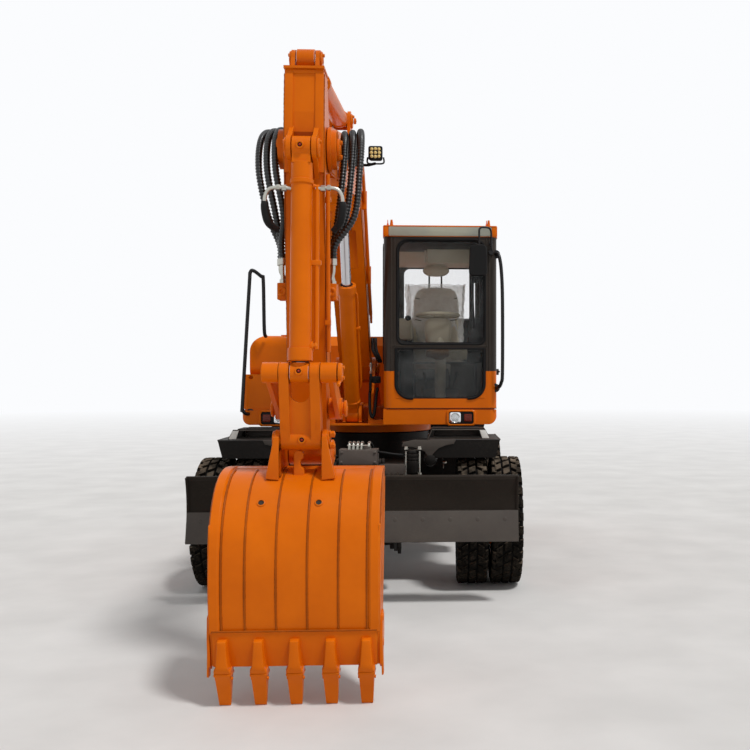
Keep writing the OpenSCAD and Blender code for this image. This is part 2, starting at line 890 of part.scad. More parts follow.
module tail_outline(r, half) {
    middle = (upper_x0 + upper_x1) / 2;
    difference() {
        intersection() {
            circle(r = r, $fn = 160);
            translate([middle - (half - middle), -r]) square([2 * (half - middle), r]);
        }
        translate([-1500, -weight_f]) square([3000, 1500]);
    }
}

module engine_hood() {
    t = 24;
    module block(d, z0) {
        side((upper_x0 + upper_x1) / 2, upper_x1 - upper_x0 - 2 * d)
            polygon([
                [-hood_f - d, z0], [-hood_f - d, hood_z - 90 - d / 2], [-hood_f - 90 - d / 2, hood_z - d],
                [-weight_f + d, hood_z - d], [-weight_f + d, z0]
            ]);
    }
    color(orange)
        difference() {
            block(0, deck_z1);
            block(t, deck_z1 - 1);
            // Louvres in both sides
            for (i = [0 : 5])
                translate([-1500, slew_back + hood_f + 180, deck_z1 + 200 + i * 55])
                    cube([3000, 420, 24]);
        }
    // Exhaust pipe, cut slanting
    color([0.2, 0.2, 0.2])
        difference() {
            translate([-560, slew_back + 1220, hood_z - 5]) cylinder(h = 240, r = 44);
            translate([-560, slew_back + 1220, hood_z + 20]) cylinder(h = 240, r = 38);
            translate([-660, slew_back + 1200, hood_z + 215]) rotate([-25, 0, 0]) cube([200, 200, 100]);
        }
}

module engine() {
    color([0.25, 0.25, 0.25])
        translate([-330, slew_back + hood_f + 120, deck_z1])
            cube([760, 700, 460]);
}

module side_tank() {
    color(orange)
        difference() {
            union() {
                plan(deck_z1, cab_split_z - 26)
                    rounded([upper_x0, -hood_f], [-575, upper_front - 20], 45);
                intersection() {
                    side(-762, 290)
                        union() {
                            rounded([-hood_f, cab_split_z - 60], [upper_front - 120, 1914], 90);
                            translate([-hood_f, cab_split_z - 60]) square([1400, 120]);
                        }
                    front(-hood_f - 1, upper_front) rounded([-907, 1300], [-560, 1914], 130);
                }
            }
            rail_hole(left_rail[0], left_rail[1], 14);
            rail_hole(left_rail[5], left_rail[4], 14);
        }
    // Filler cap
    color([0.05, 0.05, 0.05])
        translate([-760, slew_back + 120, 1914]) cylinder(h = 42, r = 55);
}

// Cab

cab_front = upper_front;
door_f0 = -250;
door_f1 = 830;
door_z0 = deck_z1 + 26;
door_z1 = roof_z0 - 38;
// Windows of the front wall, as x and z of two corners
front_windows = [[[270, 1851], [945, 2660]], [[254, 1419], [945, 1804]]];
// Windows of the inner side and the rear wall
side_window = [[-400, 1700], [880, 2640]];
rear_window = [[260, 1760], [940, 2600]];
door_window = [[-170, 1720], [750, 2600]];

module cab_walls() {
    difference() {
        rounded([cab_x0, -cab_back], [upper_x1, cab_front], cab_corner);
        rounded([cab_x0 + wall, -cab_back + wall], [upper_x1 - wall, cab_front - wall], cab_corner - wall + 20);
    }
}

// What is cut from the cab's walls: windows and the door's opening
module cab_cuts() {
    for (w = front_windows)
        front(cab_front - wall - 20, cab_front + 1) rounded(w[0], w[1], 55);
    side(cab_x0 + wall / 2, wall + 30) rounded(side_window[0], side_window[1], 60);
    front(-cab_back - 1, -cab_back + wall + 20) rounded(rear_window[0], rear_window[1], 60);
    side(upper_x1 - wall / 2, wall + 30)
        translate([door_f0 - door_gap, door_z0 - door_gap])
            square([door_f1 - door_f0 + 2 * door_gap, door_z1 - door_z0 + 2 * door_gap]);
}

module cab_base() {
    color(orange)
        difference() {
            union() {
                plan(deck_z1, cab_split_z) cab_walls();
                // Floor
                plan(deck_z1, deck_z1 + 24)
                    rounded([cab_x0 + 4, -cab_back + 4], [upper_x1 - 4, cab_front - 4], cab_corner - 4);
            }
            cab_cuts();
            rail_hole(right_rail[4], right_rail[3], 14);
        }
}

module cab_frame() {
    color([0.09, 0.09, 0.1]) {
        difference() {
            plan(cab_split_z, roof_z0) cab_walls();
            cab_cuts();
            rail_hole(right_rail[0], right_rail[1], 14);
            rail_hole(mirror_rail[6], mirror_rail[5], 9);
        }
        // Fixed halves of the door's hinges
        for (z = hinge_z) {
            for (e = [-1, 1]) {
                translate([hinge_x, slew_back - hinge_f, z + e * 43]) cylinder(h = 40, r = 12, center = true);
                translate([upper_x1, slew_back - hinge_f, z + e * 43 - 20]) cube([10, 20, 40]);
            }
            translate([upper_x1, slew_back - hinge_f + 13, z - 63]) cube([10, 64, 126]);
        }
    }
}

hinge_z = [1700, 2460];

module cab_roof() {
    color(orange) {
        plan(roof_z0, roof_z1 - 34)
            rounded([cab_x0 - 6, -cab_back - 6], [upper_x1 + 6, cab_front + 6], cab_corner);
        plan(roof_z1 - 34, roof_z1)
            rounded([cab_x0 + 40, -cab_back + 40], [upper_x1 - 40, cab_front - 40], cab_corner);
        // Marker lamps
        for (x = [cab_x0 + 60, upper_x1 - 60])
            translate([x, slew_back - cab_front + 110, roof_z1]) cylinder(h = 60, r1 = 16, r2 = 8);
    }
}

module cab_glass() {
    color([0.7, 0.8, 0.85, 0.35]) {
        for (w = front_windows)
            front(cab_front - wall / 2, cab_front - wall / 2 + pane)
                rounded(w[0] + [0.3, 0.3], w[1] - [0.3, 0.3], 54.7);
        side(cab_x0 + wall / 2, pane)
            rounded(side_window[0] + [0.3, 0.3], side_window[1] - [0.3, 0.3], 59.7);
        front(-cab_back + wall / 2, -cab_back + wall / 2 + pane)
            rounded(rear_window[0] + [0.3, 0.3], rear_window[1] - [0.3, 0.3], 59.7);
    }
}

hinge_x = upper_x1 + 16;
hinge_f = door_f0 - 4;

module door() {
    color([0.09, 0.09, 0.1]) {
        side(upper_x1 - wall / 2, wall)
            difference() {
                translate([door_f0, door_z0]) square([door_f1 - door_f0, door_z1 - door_z0]);
                rounded(door_window[0], door_window[1], 60);
            }
        // Handle
        side(upper_x1 + 14, 28) rounded([700, 1600], [790, 1650], 20);
        // Moving halves of the hinges
        for (z = hinge_z) {
            translate([hinge_x, slew_back - hinge_f, z]) cylinder(h = 45, r = 12, center = true);
            translate([upper_x1, slew_back - hinge_f - 76, z - 22]) cube([10, 72, 44]);
        }
    }
}

module door_glass() {
    color([0.7, 0.8, 0.85, 0.35])
        side(upper_x1 - wall / 2, pane)
            rounded(door_window[0] + [0.3, 0.3], door_window[1] - [0.3, 0.3], 59.7);
}

seat_x = 600;

module seat_base() {
    color([0.12, 0.12, 0.12]) {
        translate([seat_x - 190, slew_back - 330, deck_z1 + 24]) cube([380, 480, 230]);
        // Consoles beside the seat
        for (s = [-1, 1])
            side(seat_x + s * 285, 110)
                polygon([
                    [-180, deck_z1 + 24], [260, deck_z1 + 24], [420, 1800], [400, 1860], [-120, 1800]
                ]);
    }
}

module seat() {
    color([0.75, 0.76, 0.75]) {
        side(seat_x, 460)
            rounded([-130, deck_z1 + 254], [400, deck_z1 + 380], 50);
        side(seat_x, 440)
            polygon([
                [-60, deck_z1 + 381], [-200, 2230], [-250, 2260], [-330, 2230], [-230, deck_z1 + 330],
                [-131, deck_z1 + 330], [-131, deck_z1 + 381]
            ]);
    }
}

module controls() {
    wheel_centre = [seat_x, 620, 2060];
    color([0.1, 0.1, 0.1]) {
        // Column from the floor
        rail([[seat_x, 800, deck_z1 + 33], [seat_x, 720, 1800], wheel_centre], 36);
        translate([wheel_centre[0], slew_back - wheel_centre[1], wheel_centre[2]])
            rotate([30, 0, 0]) {
                rotate_extrude($fn = 64) translate([180, 0]) circle(r = 14, $fn = 24);
                cylinder(h = 30, r = 45, center = true);
                for (a = [90 : 120 : 330])
                    rotate([0, 0, a]) translate([0, -14, -7]) cube([180, 28, 14]);
            }
        // Levers on the consoles
        for (s = [-1, 1])
            rail([[seat_x + s * 285, 336, 1861], [seat_x + s * 285, 370, 2010]], 16);
    }
}

// Handrails' bends, and the mirror's bracket
left_rail = [
    [-880, 960, cab_split_z - 60], [-880, 1055, cab_split_z - 10], [-873, 1055, 2330], [-830, 1050, 2400],
    [-780, 1000, 2352], [-780, 860, 1905]
];
right_rail = [
    [upper_x1 - 20, cab_front - 60, 2560], [1062, 1050, 2540], [1087, 1060, 2181], [1080, 1060, 1600],
    [upper_x1 - 20, cab_front - 60, 1500]
];
mirror_rail = [
    [893, 1092, 2590], [893, 1080, 2720], [925, 1070, 2762], [968, 1062, 2760], [996, 1045, 2720],
    [996, 1040, 2650], [996, 975, 2640]
];

// Hole in a wall that takes the end of a rail at point p
module rail_hole(p, q, r) {
    d = p - q;
    rail_piece(p + 0.5 * d / norm(d), q, r + 0.3);
}

module rails() {
    color([0.05, 0.05, 0.05]) {
        rail(left_rail, 14);
        rail(right_rail, 14);
    }
}

module side_mirror() {
    color([0.05, 0.05, 0.05]) {
        front(1075, 1110) rounded([839, 2375], [948, 2608], 30);
        rail(mirror_rail, 9);
    }
}

// Boom

knee_n0 = left(unit(foot, knee));
knee_n1 = left(unit(knee, pivot));

// A point of the boom's first length, at distance d from the foot and off above its line
function lower_boom(d, off) = at(foot, knee, d) + off * knee_n0;

module boom_outline() {
    half = knee_d / 2;
    difference() {
        strap(foot, knee, foot_r, half);
        // Room below for the boom cylinder
        polygon([
            lower_boom(150, -108), lower_boom(520, -belly), lower_boom(1700, -belly), lower_boom(1760, -260),
            lower_boom(150, -260)
        ]);
    }
    strap(knee, pivot, half, tip_r);
    // Corner of the belly, filled to an easy curve
    polygon([knee, lower_boom(1690, 0.06 - belly), at(knee, pivot, 560) - (half - 30) * knee_n1]);
}

module boom() {
    color(orange) {
        difference() {
            union() {
                side(boom_x, boom_w) boom_outline();
                across(pivot, boom_x, 2 * (arm_w / 2 + side_gap + plate + 22), tip_r - 14);
                // Lugs of the boom cylinder's rod
                for (s = [-1, 1])
                    side(boom_x + s * (eye_half + side_gap + 11), 22)
                        strap(boom_cyl_eye, knee - [60, 120], 66, 120);
                // Lugs of the arm cylinder's foot
                for (s = [-1, 1])
                    side(boom_x + s * (eye_half + side_gap + 11), 22)
                        strap(arm_cyl_foot, knee + [60, 60], 70, 130);
            }
            // Fork at the tip
            side(boom_x, arm_w + 2 * side_gap)
                fork_cut();
            // Slot in the belly for the boom cylinder: its rod's eye moves 110 mm up it at both ends of
            // the range, and the barrel enters it with the boom lowered
            side(boom_x, 2 * (eye_half + side_gap)) {
                strap(boom_cyl_eye, boom_cyl_eye + [1, 20], 70, 70);
                strap(boom_cyl_eye + [1, 20], boom_cyl_eye + [-28, 47], 70, 71);
                strap(boom_cyl_eye + [-28, 47], boom_cyl_eye + [-86, 71], 71, 74);
                polygon([[1420, 2878], [1148, 2420], [1250, 2360], [1580, 2710]]);
            }
            side(boom_x, 2 * (boom_cyl_r + 15))
                polygon([[1300, 2716], [1152, 2420], [1300, 2340], [1480, 2600], [1452, 2652]]);
            // Slot in the top, which the arm cylinder's foot turns in
            side(boom_x, 2 * (eye_half + side_gap))
                translate(arm_cyl_foot) circle(r = arm_cyl_r + 34);
            across(pivot, boom_x, 400, pin_r + pin_gap);
            across(foot, boom_x, 400, pin_r + pin_gap);
            across(arm_cyl_foot, boom_x, 400, pin_r + pin_gap);
        }
        // Foot pin, carried by the plates of the upper frame
        across(foot, boom_x, 2 * (foot_plate_x + foot_plate_t + 10), pin_r);
    }
}

module fork_cut() {
    u = unit(knee, pivot);
    n = left(u);
    reach = 310;
    polygon([
        pivot - reach * u - 200 * n, pivot + 200 * u - 200 * n, pivot + 200 * u + 200 * n,
        pivot - reach * u + 200 * n
    ]);
}

module boom_barrel() {
    color(orange)
        cylinder_barrel(
            boom_cyl_foot, boom_cyl_eye, boom_x, boom_cyl_r, boom_rod_r, 1143, eye_half, pin_r, 24, 92
        );
}

module boom_rod() {
    color(chrome)
        cylinder_rod(boom_cyl_foot, boom_cyl_eye, boom_x, boom_rod_r, 1010, eye_half, 62);
}

// Arm, its cylinders and the bucket's linkage

module arm_outline() {
    front_f = pivot_f + 185;
    polygon([
        [arm_cyl_eye[0] - 62, 3185], [front_f, 3185], [front_f + 20, 2950], [front_f - 5, 2600],
        [bucket_pin_f + 105, rocker_pin_z + 120], [bucket_pin_f + 68, bucket_pin_z],
        [bucket_pin_f - 68, bucket_pin_z], [bucket_pin_f - 85, rocker_pin_z + 100],
        [pivot_f - 115, pivot_z - 40], [pivot_f - 100, pivot_z + 60]
    ]);
    translate(pivot) circle(r = 118);
    translate(bucket_pin) circle(r = 68);
}

module arm() {
    color(orange) {
        difference() {
            union() {
                side(boom_x, arm_w) arm_outline();
                // Upper end plate
                side(boom_x, arm_w + 8)
                    translate([arm_cyl_eye[0] - 66, 3173]) square([pivot_f + 205 - arm_cyl_eye[0] + 66, 14]);
                // Lugs of the arm cylinder's rod
                for (s = [-1, 1])
                    side(boom_x + s * (eye_half + side_gap + 11), 22)
                        union() {
                            translate(arm_cyl_eye) circle(r = 52);
                            polygon([
                                arm_cyl_eye - [52, 0], arm_cyl_eye + [52, 0], [arm_cyl_eye[0] + 80, 3160],
                                [arm_cyl_eye[0] - 64, 3160]
                            ]);
                        }
                // Lugs of the bucket cylinder
                for (s = [-1, 1])
                    side(boom_x + s * (eye_half + side_gap + 12), 24)
                        union() {
                            translate(bucket_cyl_top) circle(r = 62);
                            polygon([
                                bucket_cyl_top + [0, 62], bucket_cyl_top - [0, 62],
                                [pivot_f + 150, bucket_cyl_top[1] - 170], [pivot_f + 150, bucket_cyl_top[1] + 170]
                            ]);
                        }
                across(rocker_pin, boom_x, arm_w, 60);
            }
            across(pivot, boom_x, 400, pin_r + pin_gap + 8);
            across(bucket_pin, boom_x, 400, pin_r + pin_gap);
            across(rocker_pin, boom_x, 400, pin_r + pin_gap);
            across(bucket_cyl_top, boom_x, 400, pin_r + pin_gap);
            // Room above for the eye of the arm cylinder's rod
            side(boom_x, 2 * (eye_half + side_gap))
                strap(arm_cyl_eye - [120, 0], arm_cyl_eye + [60, 0], 74, 74);
            // Room for the bucket cylinder's foot eye
            side(boom_x, 2 * (eye_half + side_gap))
                translate(bucket_cyl_top) circle(r = bucket_cyl_r + 14);
        }
        // Bush and pin of the boom's fork
        across(pivot, boom_x, arm_w, pin_r + pin_gap + 9);
        across(pivot, boom_x, 2 * (arm_w / 2 + side_gap + plate + 22), pin_r);
    }
}

module arm_barrel() {
    color(orange)
        cylinder_barrel(
            arm_cyl_foot, arm_cyl_eye, boom_x, arm_cyl_r, arm_rod_r, 1310, eye_half, pin_r, 22, 84
        );
}

module arm_rod() {
    color(chrome)
        cylinder_rod(arm_cyl_foot, arm_cyl_eye, boom_x, arm_rod_r, 1080, eye_half, 55);
}

module bucket_barrel() {
    color(orange)
        cylinder_barrel(
            bucket_cyl_top, link_top, boom_x, bucket_cyl_r, bucket_rod_r, 1082, eye_half, pin_r, 24, 80
        );
}

module bucket_rod() {
    color(chrome)
        cylinder_rod(bucket_cyl_top, link_top, boom_x, bucket_rod_r, 850, eye_half, 50);
}

module arm_pipes() {
    x = boom_x + arm_w / 2 + 16;
    f = pivot_f + 150;
    color(orange) {
        rail([[x, f, 2640], [x, f - 20, 2000], [x, f - 40, 1720]], 11);
        for (z = [2500, 2180, 1860])
            translate([boom_x + arm_w / 2, slew_back - f + 10, z]) cube([28, 40, 26]);
    }
}

ear_x = arm_w / 2 + side_gap + plate / 2;
rocker_x = ear_x + 36;

module rocker() {
    color(orange)
        for (s = [-1, 1]) {
            side(boom_x + s * rocker_x, plate)
                strap(rocker_pin, link_top, 58, 52);
            across(link_top, boom_x + s * (rocker_x - 10), plate + 56, 52);
            across(rocker_pin, boom_x + s * (rocker_x - 14), plate + 44, 58);
            // Pin of the arm, in halves
            across(rocker_pin, boom_x + s * (rocker_x - 34), rocker_x - 18, pin_r);
        }
}

module link() {
    plate_x = eye_half + side_gap;
    plate_t = arm_w / 2 - plate_x;
    color(orange) {
        for (s = [-1, 1])
            side(boom_x + s * (plate_x + plate_t / 2), plate_t)
                difference() {
                    strap(link_foot, link_top, 50, 52);
                    translate(link_foot) circle(r = pin_r + pin_gap);
                }
        // Web between the plates, with a round cut at its top below the rod's eye
        difference() {
            side(boom_x, 2 * plate_x + 2)
                polygon([
                    at(link_foot, link_top, 0) + [-20, 0], at(link_foot, link_top, 0) + [34, 0],
                    at(link_foot, link_top, 246) + [34, 0], at(link_foot, link_top, 246) + [0, 0]
                ]);
            across(link_foot, boom_x, 400, pin_r + pin_gap);
            front(3700, 3950)
                translate([boom_x, at(link_foot, link_top, 246)[1]]) circle(r = 50);
        }
        difference() {
            across(link_foot, boom_x, arm_w, 50);
            across(link_foot, boom_x, 400, pin_r + pin_gap);
        }
    }
}

// Bucket: the wall's points run from the mouth's upper edge over the back to the lip
bucket_back = [
    [3560, 1108], [3640, 1113], [3720, 1112], [3800, 1099], [3868, 1072], [3930, 1032], [3984, 978],
    [4028, 908], [4058, 826], [4074, 735], [4079, 640], [4078, 545], [4070, 450], [4056, 372], [4018, 205]
];
bucket_core = [3790, 640];
// Width of the raised strips along both edges
rim_w = 57;

// The wall's points, moved in or out from the core
function bucket_line(k, last = 14) = [for (i = [0 : last]) bucket_core + (bucket_back[i] - bucket_core) * k];
function backwards(list) = [for (i = [len(list) - 1 : -1 : 0]) list[i]];

module bucket() {
    color(orange) {
        // Side plates
        for (s = [-1, 1])
            side(boom_x + s * (bucket_w / 2 - bucket_wall / 2 - 1), bucket_wall)
                polygon(concat(bucket_back, [[3850, 190], [3770, 370], [3690, 560], [3570, 900], [3542, 1060]]));
        // Wrapper, with a raised strip along both edges
        side(boom_x, bucket_w - 20)
            polygon(concat(bucket_back, backwards(bucket_line(0.955))));
        for (s = [-1, 1])
            side(boom_x + s * (bucket_w - rim_w) / 2, rim_w)
                polygon(concat(bucket_line(1.035, 13), backwards(bucket_line(0.99, 13))));
        // Upper edge of the mouth, folded
        side(boom_x, bucket_w - 40)
            polygon([[3552, 1110], [3552, 1078], [3572, 1072], [3650, 1092], [3650, 1112]]);
        // Lip plate
        side(boom_x, bucket_w - 24)
            polygon([[4002, 202], [4040, 376], [4066, 374], [4026, 200]]);
        // Side cutters
        for (s = [-1, 1])
            side(boom_x + s * (bucket_w / 2 + 7), 16)
                polygon([
                    [4046, 440], [4052, 330], [4034, 170], [3985, 160], [3930, 260], [3880, 330], [3900, 420],
                    [3960, 452]
                ]);
        // Bolts of the side cutters
        for (s = [-1, 1], p = [[4005, 410], [3990, 300]])
            across(p, boom_x + s * (bucket_w / 2 + 20), 12, 17);
        // Lifting hook
        side(boom_x, 36)
            difference() {
                union() {
                    translate([3880, 1150]) circle(r = 44);
                    polygon([[3855, 1080], [3950, 1030], [3930, 1100], [3916, 1150], [3850, 1150]]);
                }
                translate([3874, 1148]) circle(r = 20);
                translate([3800, 1130]) square([70, 26]);
            }
        // Ears of the linkage
        for (s = [-1, 1])
            side(boom_x + s * ear_x, plate)
                difference() {
                    union() {
                        strap(bucket_pin, link_foot, 62, 50);
                        polygon([
                            bucket_pin + [40, 30], [bucket_pin_f + 66, 1102], [3870, 1065], [3905, 1045],
                            link_foot + [50, 0], link_foot + [0, 20]
                        ]);
                    }
                    translate(bucket_pin) circle(r = pin_r - 5);
                }
        across(link_foot, boom_x, 2 * ear_x + plate, pin_r);
        across(bucket_pin, boom_x, 2 * ear_x + plate, pin_r);
        // Pin heads
        for (s = [-1, 1]) {
            across(bucket_pin, boom_x + s * (ear_x + plate / 2 + 3), 8, 44);
            across(link_foot, boom_x + s * (ear_x + plate / 2 + 8), 18, 46);
        }
    }
}

module bucket_teeth() {
    color(orange)
        for (i = [-2 : 2])
            side(boom_x + i * tooth_pitch, tooth_w)
                polygon([
                    [4086, 330], [4098, 330], [4096, 160], [4012, 4], [3992, 0], [3980, 60], [3998, 199],
                    [4049, 195.5]
                ]);
}

module work_lamp() {
    color([0.06, 0.06, 0.06]) {
        front(3240, 3290)
            rounded([boom_x + 290, 2790], [boom_x + 390, 2890], 14);
        rail([[boom_x + boom_w / 2 + 4, 3201, 2790], [boom_x + 340, 3265, 2795]], 9);
    }
}

chassis_frame();
turntable();
front_axle();
rear_axle();
driveline();
mudguards();
valve_box();
knuckle_left();
knuckle_right();
tie_rod();
wheel_front_left();
wheel_front_right();
wheel_rear_left();
wheel_rear_right();
tyres_front_left();
tyres_front_right();
tyres_rear_left();
tyres_rear_right();
blade();
blade_links_lower();
blade_links_upper();
blade_barrels();
blade_rods();
upper_frame();
counterweight();
engine_hood();
engine();
side_tank();
cab_base();
cab_frame();
cab_roof();
cab_glass();
door();
door_glass();
seat_base();
seat();
controls();
headlamps();
rails();
side_mirror();
boom();
boom_barrel();
boom_rod();
arm();
arm_barrel();
arm_rod();
arm_pipes();
bucket();
bucket_teeth();
bucket_barrel();
bucket_rod();
rocker();
link();
work_lamp();
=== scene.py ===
"""Looks of a wheeled excavator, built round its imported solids.

Lengths are in millimetres until a piece is finished. A place is given as x, then the distance ahead of
the slew axis, then the height, as in the part's source.
"""
import math
import random

import bmesh
import bpy
from mathutils import Matrix, Vector


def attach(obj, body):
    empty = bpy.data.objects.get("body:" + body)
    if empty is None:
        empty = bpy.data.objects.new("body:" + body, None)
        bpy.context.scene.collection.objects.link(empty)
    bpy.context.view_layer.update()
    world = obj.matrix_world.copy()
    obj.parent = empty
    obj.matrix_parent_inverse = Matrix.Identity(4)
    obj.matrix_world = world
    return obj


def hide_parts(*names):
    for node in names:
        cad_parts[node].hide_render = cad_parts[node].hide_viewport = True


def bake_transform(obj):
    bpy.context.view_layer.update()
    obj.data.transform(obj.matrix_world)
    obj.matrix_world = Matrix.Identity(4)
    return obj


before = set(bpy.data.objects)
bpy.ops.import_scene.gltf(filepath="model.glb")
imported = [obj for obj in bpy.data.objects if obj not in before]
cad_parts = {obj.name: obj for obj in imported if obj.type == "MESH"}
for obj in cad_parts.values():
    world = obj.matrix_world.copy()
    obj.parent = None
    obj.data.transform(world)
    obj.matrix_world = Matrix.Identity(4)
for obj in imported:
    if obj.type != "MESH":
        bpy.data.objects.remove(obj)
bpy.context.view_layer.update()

SLEW_BACK = 1049
BOOM_X = -110
MM = 0.001


def at(x, ahead, z):
    return Vector((x, SLEW_BACK - ahead, z))


# Camera: the photograph is a crop whose principal point lies right of the middle
PHOTO_WIDTH = 750
PRINCIPAL_X = 490
camera_data = bpy.data.cameras.new("camera")
camera = bpy.data.objects.new("camera", camera_data)
bpy.context.scene.collection.objects.link(camera)
camera.location = at(566, 8893, 1600) * MM
camera.rotation_euler = (math.radians(90), 0, math.radians(-3.09))
camera_data.sensor_width = 36
camera_data.lens = 48
camera_data.shift_x = (PHOTO_WIDTH / 2 - PRINCIPAL_X) / PHOTO_WIDTH
camera_data.clip_end = 300
bpy.context.scene.camera = camera
bpy.context.scene.view_settings.view_transform = "Standard"


# ---- Finishes ----


def linear(colour):
    """An sRGB hex colour as linear RGBA."""
    channels = [int(colour[i:i + 2], 16) / 255 for i in (1, 3, 5)]
    return [c / 12.92 if c <= 0.04045 else ((c + 0.055) / 1.055) ** 2.4 for c in channels] + [1.0]


def feed(tree, node, inputs):
    """Sets a node's inputs, or links them to other nodes' outputs."""
    for socket, value in inputs.items():
        if isinstance(value, bpy.types.NodeSocket):
            tree.links.new(value, node.inputs[socket])
        else:
            node.inputs[socket].default_value = value


def add(tree, kind, inputs=None, **settings):
    """Adds a shader node with its settings, and feeds its inputs."""
    node = tree.nodes.new("ShaderNode" + kind)
    for name, value in settings.items():
        setattr(node, name, value)
    feed(tree, node, inputs or {})
    return node


def blank(name):
    """A new material with its shader, ready for nodes."""
    material = bpy.data.materials.new(name)
    material.use_nodes = True
    tree = material.node_tree
    shader = tree.nodes["Principled BSDF"]
    return material, tree, shader


def ramp(tree, value, stops):
    """A colour ramp over a value, from (position, hex colour or grey) stops."""
    node = add(tree, "ValToRGB", {"Fac": value})
    elements = node.color_ramp.elements
    while len(elements) < len(stops):
        elements.new(0.5)
    for element, (position, colour) in zip(elements, stops):
        element.position = position
        element.color = linear(colour) if isinstance(colour, str) else (colour, colour, colour, 1)
    return node.outputs["Color"]


def noise(tree, place, scale, detail, roughness=0.5):
    """The value of a noise texture."""
    return add(tree, "TexNoise", {
        "Vector": place, "Scale": scale, "Detail": detail, "Roughness": roughness}).outputs["Fac"]


def product(tree, a, b, clamp=False):
    """Two values multiplied."""
    return add(tree, "Math", {0: a, 1: b}, operation="MULTIPLY", use_clamp=clamp).outputs[0]


def mixed(tree, factor, colour, other):
    """One colour mixed with another by a factor."""
    return add(tree, "Mix", {0: factor, 6: colour, 7: other}, data_type="RGBA").outputs[2]


def mapped(tree, value, low, high, start=0.0, end=1.0):
    """Goes from low to high while a value goes from start to end."""
    return add(tree, "MapRange", {
        "Value": value, "From Min": start, "From Max": end, "To Min": low, "To Max": high}).outputs["Result"]


def bump(tree, height, strength, distance, normal=None):
    """The normal of a surface that a texture raises."""
    inputs = {"Height": height, "Strength": strength, "Distance": distance}
    if normal:
        inputs["Normal"] = normal
    return add(tree, "Bump", inputs).outputs["Normal"]


def enamel(name, colour, shade, dust, dust_amount, roughness, coat, edge=None, grain=0.05, specular=0.2):
    """Machine enamel, sprayed on welded steel: a soft gloss with faint orange peel, mottled by dust."""
    material, tree, shader = blank(name)
    place = add(tree, "TexCoord").outputs["Object"]
    flat = add(tree, "NewGeometry").outputs["Normal"]
    # Cloudy tone of a hand-sprayed coat, about 0.4 m across
    clouds = ramp(tree, noise(tree, place, 2.6, 4, 0.6), [(0.35, 0.0), (0.7, 1.0)])
    tone = mixed(tree, clouds, linear(colour), linear(shade))
    # Dust lies on what faces up, in specks about 15 mm across
    facing = add(tree, "SeparateXYZ", {"Vector": flat}).outputs["Z"]
    upward = ramp(tree, facing, [(0.35, 0.0), (1.0, 1.0)])
    fine = ramp(tree, noise(tree, place, 65, 5, 0.7), [(0.4, 0.0), (0.75, 1.0)])
    broad = ramp(tree, noise(tree, place, 7, 6, 0.65), [(0.42, 0.15), (0.72, 1.0)])
    film = product(tree, fine, broad)
    lying = product(tree, upward, broad)
    both = add(tree, "Math", {0: film, 1: 0.35, 2: lying}, operation="MULTIPLY_ADD").outputs[0]
    cover = product(tree, both, dust_amount, clamp=True)
    base = mixed(tree, cover, tone, linear(dust))
    if edge:
        # Corners drawn lighter, partly as rubbing and partly as painted highlight, found by how far the
        # rounded normal leaves the flat one
        eased = add(tree, "Bevel", {"Radius": 0.006}, samples=4).outputs["Normal"]
        bend = add(tree, "VectorMath", {0: eased, 1: flat}, operation="DOT_PRODUCT").outputs["Value"]
        rubbed_and_highlit = product(tree, ramp(tree, bend, [(0.86, 1.0), (0.985, 0.0)]), broad)
        base = mixed(tree, product(tree, rubbed_and_highlit, 0.55), base, linear(edge))
    # Orange peel is really 1 to 2 mm across, and drawn at 6 mm to show
    peel = noise(tree, place, 170, 2)
    soft_edge = add(tree, "Bevel", {"Radius": 0.005}, samples=4).outputs["Normal"]
    feed(tree, shader, {
        "Base Color": base, "Roughness": mapped(tree, cover, roughness, min(1.0, roughness + 0.4)),
        "Normal": bump(tree, peel, grain, 0.004, soft_edge), "Coat Weight": coat, "Coat Roughness": 0.18,
        "Specular IOR Level": specular})
    return material


def moulded(name, colour, roughness, grain_scale, grain, metallic=0.0, tint=None, spread=0.25, specular=0.3):
    """A moulded, drawn or rolled surface: one colour with a fine grain and a slow change of tone."""
    material, tree, shader = blank(name)
    place = add(tree, "TexCoord").outputs["Object"]
    clouds = noise(tree, place, 9, 5, 0.6)
    amount = ramp(tree, clouds, [(0.4, 0.0), (0.75, spread)])
    feed(tree, shader, {
        "Base Color": mixed(tree, amount, linear(colour), linear(tint or colour)),
        "Normal": bump(tree, noise(tree, place, grain_scale, 3), grain, 0.002),
        "Roughness": mapped(tree, clouds, roughness * 0.8, min(1.0, roughness * 1.25)), "Metallic": metallic})
    if not metallic:
        feed(tree, shader, {"Specular IOR Level": specular})
    return material


def clear(name, colour, alpha, roughness, wrinkle=0.0, wrinkle_scale=30, bloom="#C9CCC8", specular=0.5):
    """Glass or film: mostly see-through, with the gloss of its skin."""
    material, tree, shader = blank(name)
    place = add(tree, "TexCoord").outputs["Object"]
    streaks = noise(tree, place, 5, 5, 0.7)
    feed(tree, shader, {
        "Alpha": mapped(tree, streaks, alpha, min(1.0, alpha * 1.4), 0.35, 0.75),
        "Base Color": ramp(tree, streaks, [(0.3, colour), (0.8, bloom)]),
        "Roughness": roughness, "Specular IOR Level": specular})
    if wrinkle:
        folds = add(tree, "TexNoise", {
            "Vector": place, "Scale": wrinkle_scale, "Detail": 4, "Distortion": 1.2}).outputs["Fac"]
        feed(tree, shader, {"Normal": bump(tree, folds, wrinkle, 0.02)})
    return material


# Two-pack enamel in machine orange: a deep gloss that fine dust has dulled a little
ORANGE = enamel("machine_enamel_orange", "#DE6C05", "#CE6003", "#C8803A", 0.12, 0.34, 0.05, "#F0962C",
                specular=0.08)
# The same enamel drawn darker, as painted shade on the arm's sunk panel, which faces away from the light
PAINTED_SHADE_ORANGE = enamel("machine_enamel_painted_shade", "#A44402", "#963C01", "#B06A28", 0.1, 0.4, 0.03, "#D87818",
              specular=0.06)
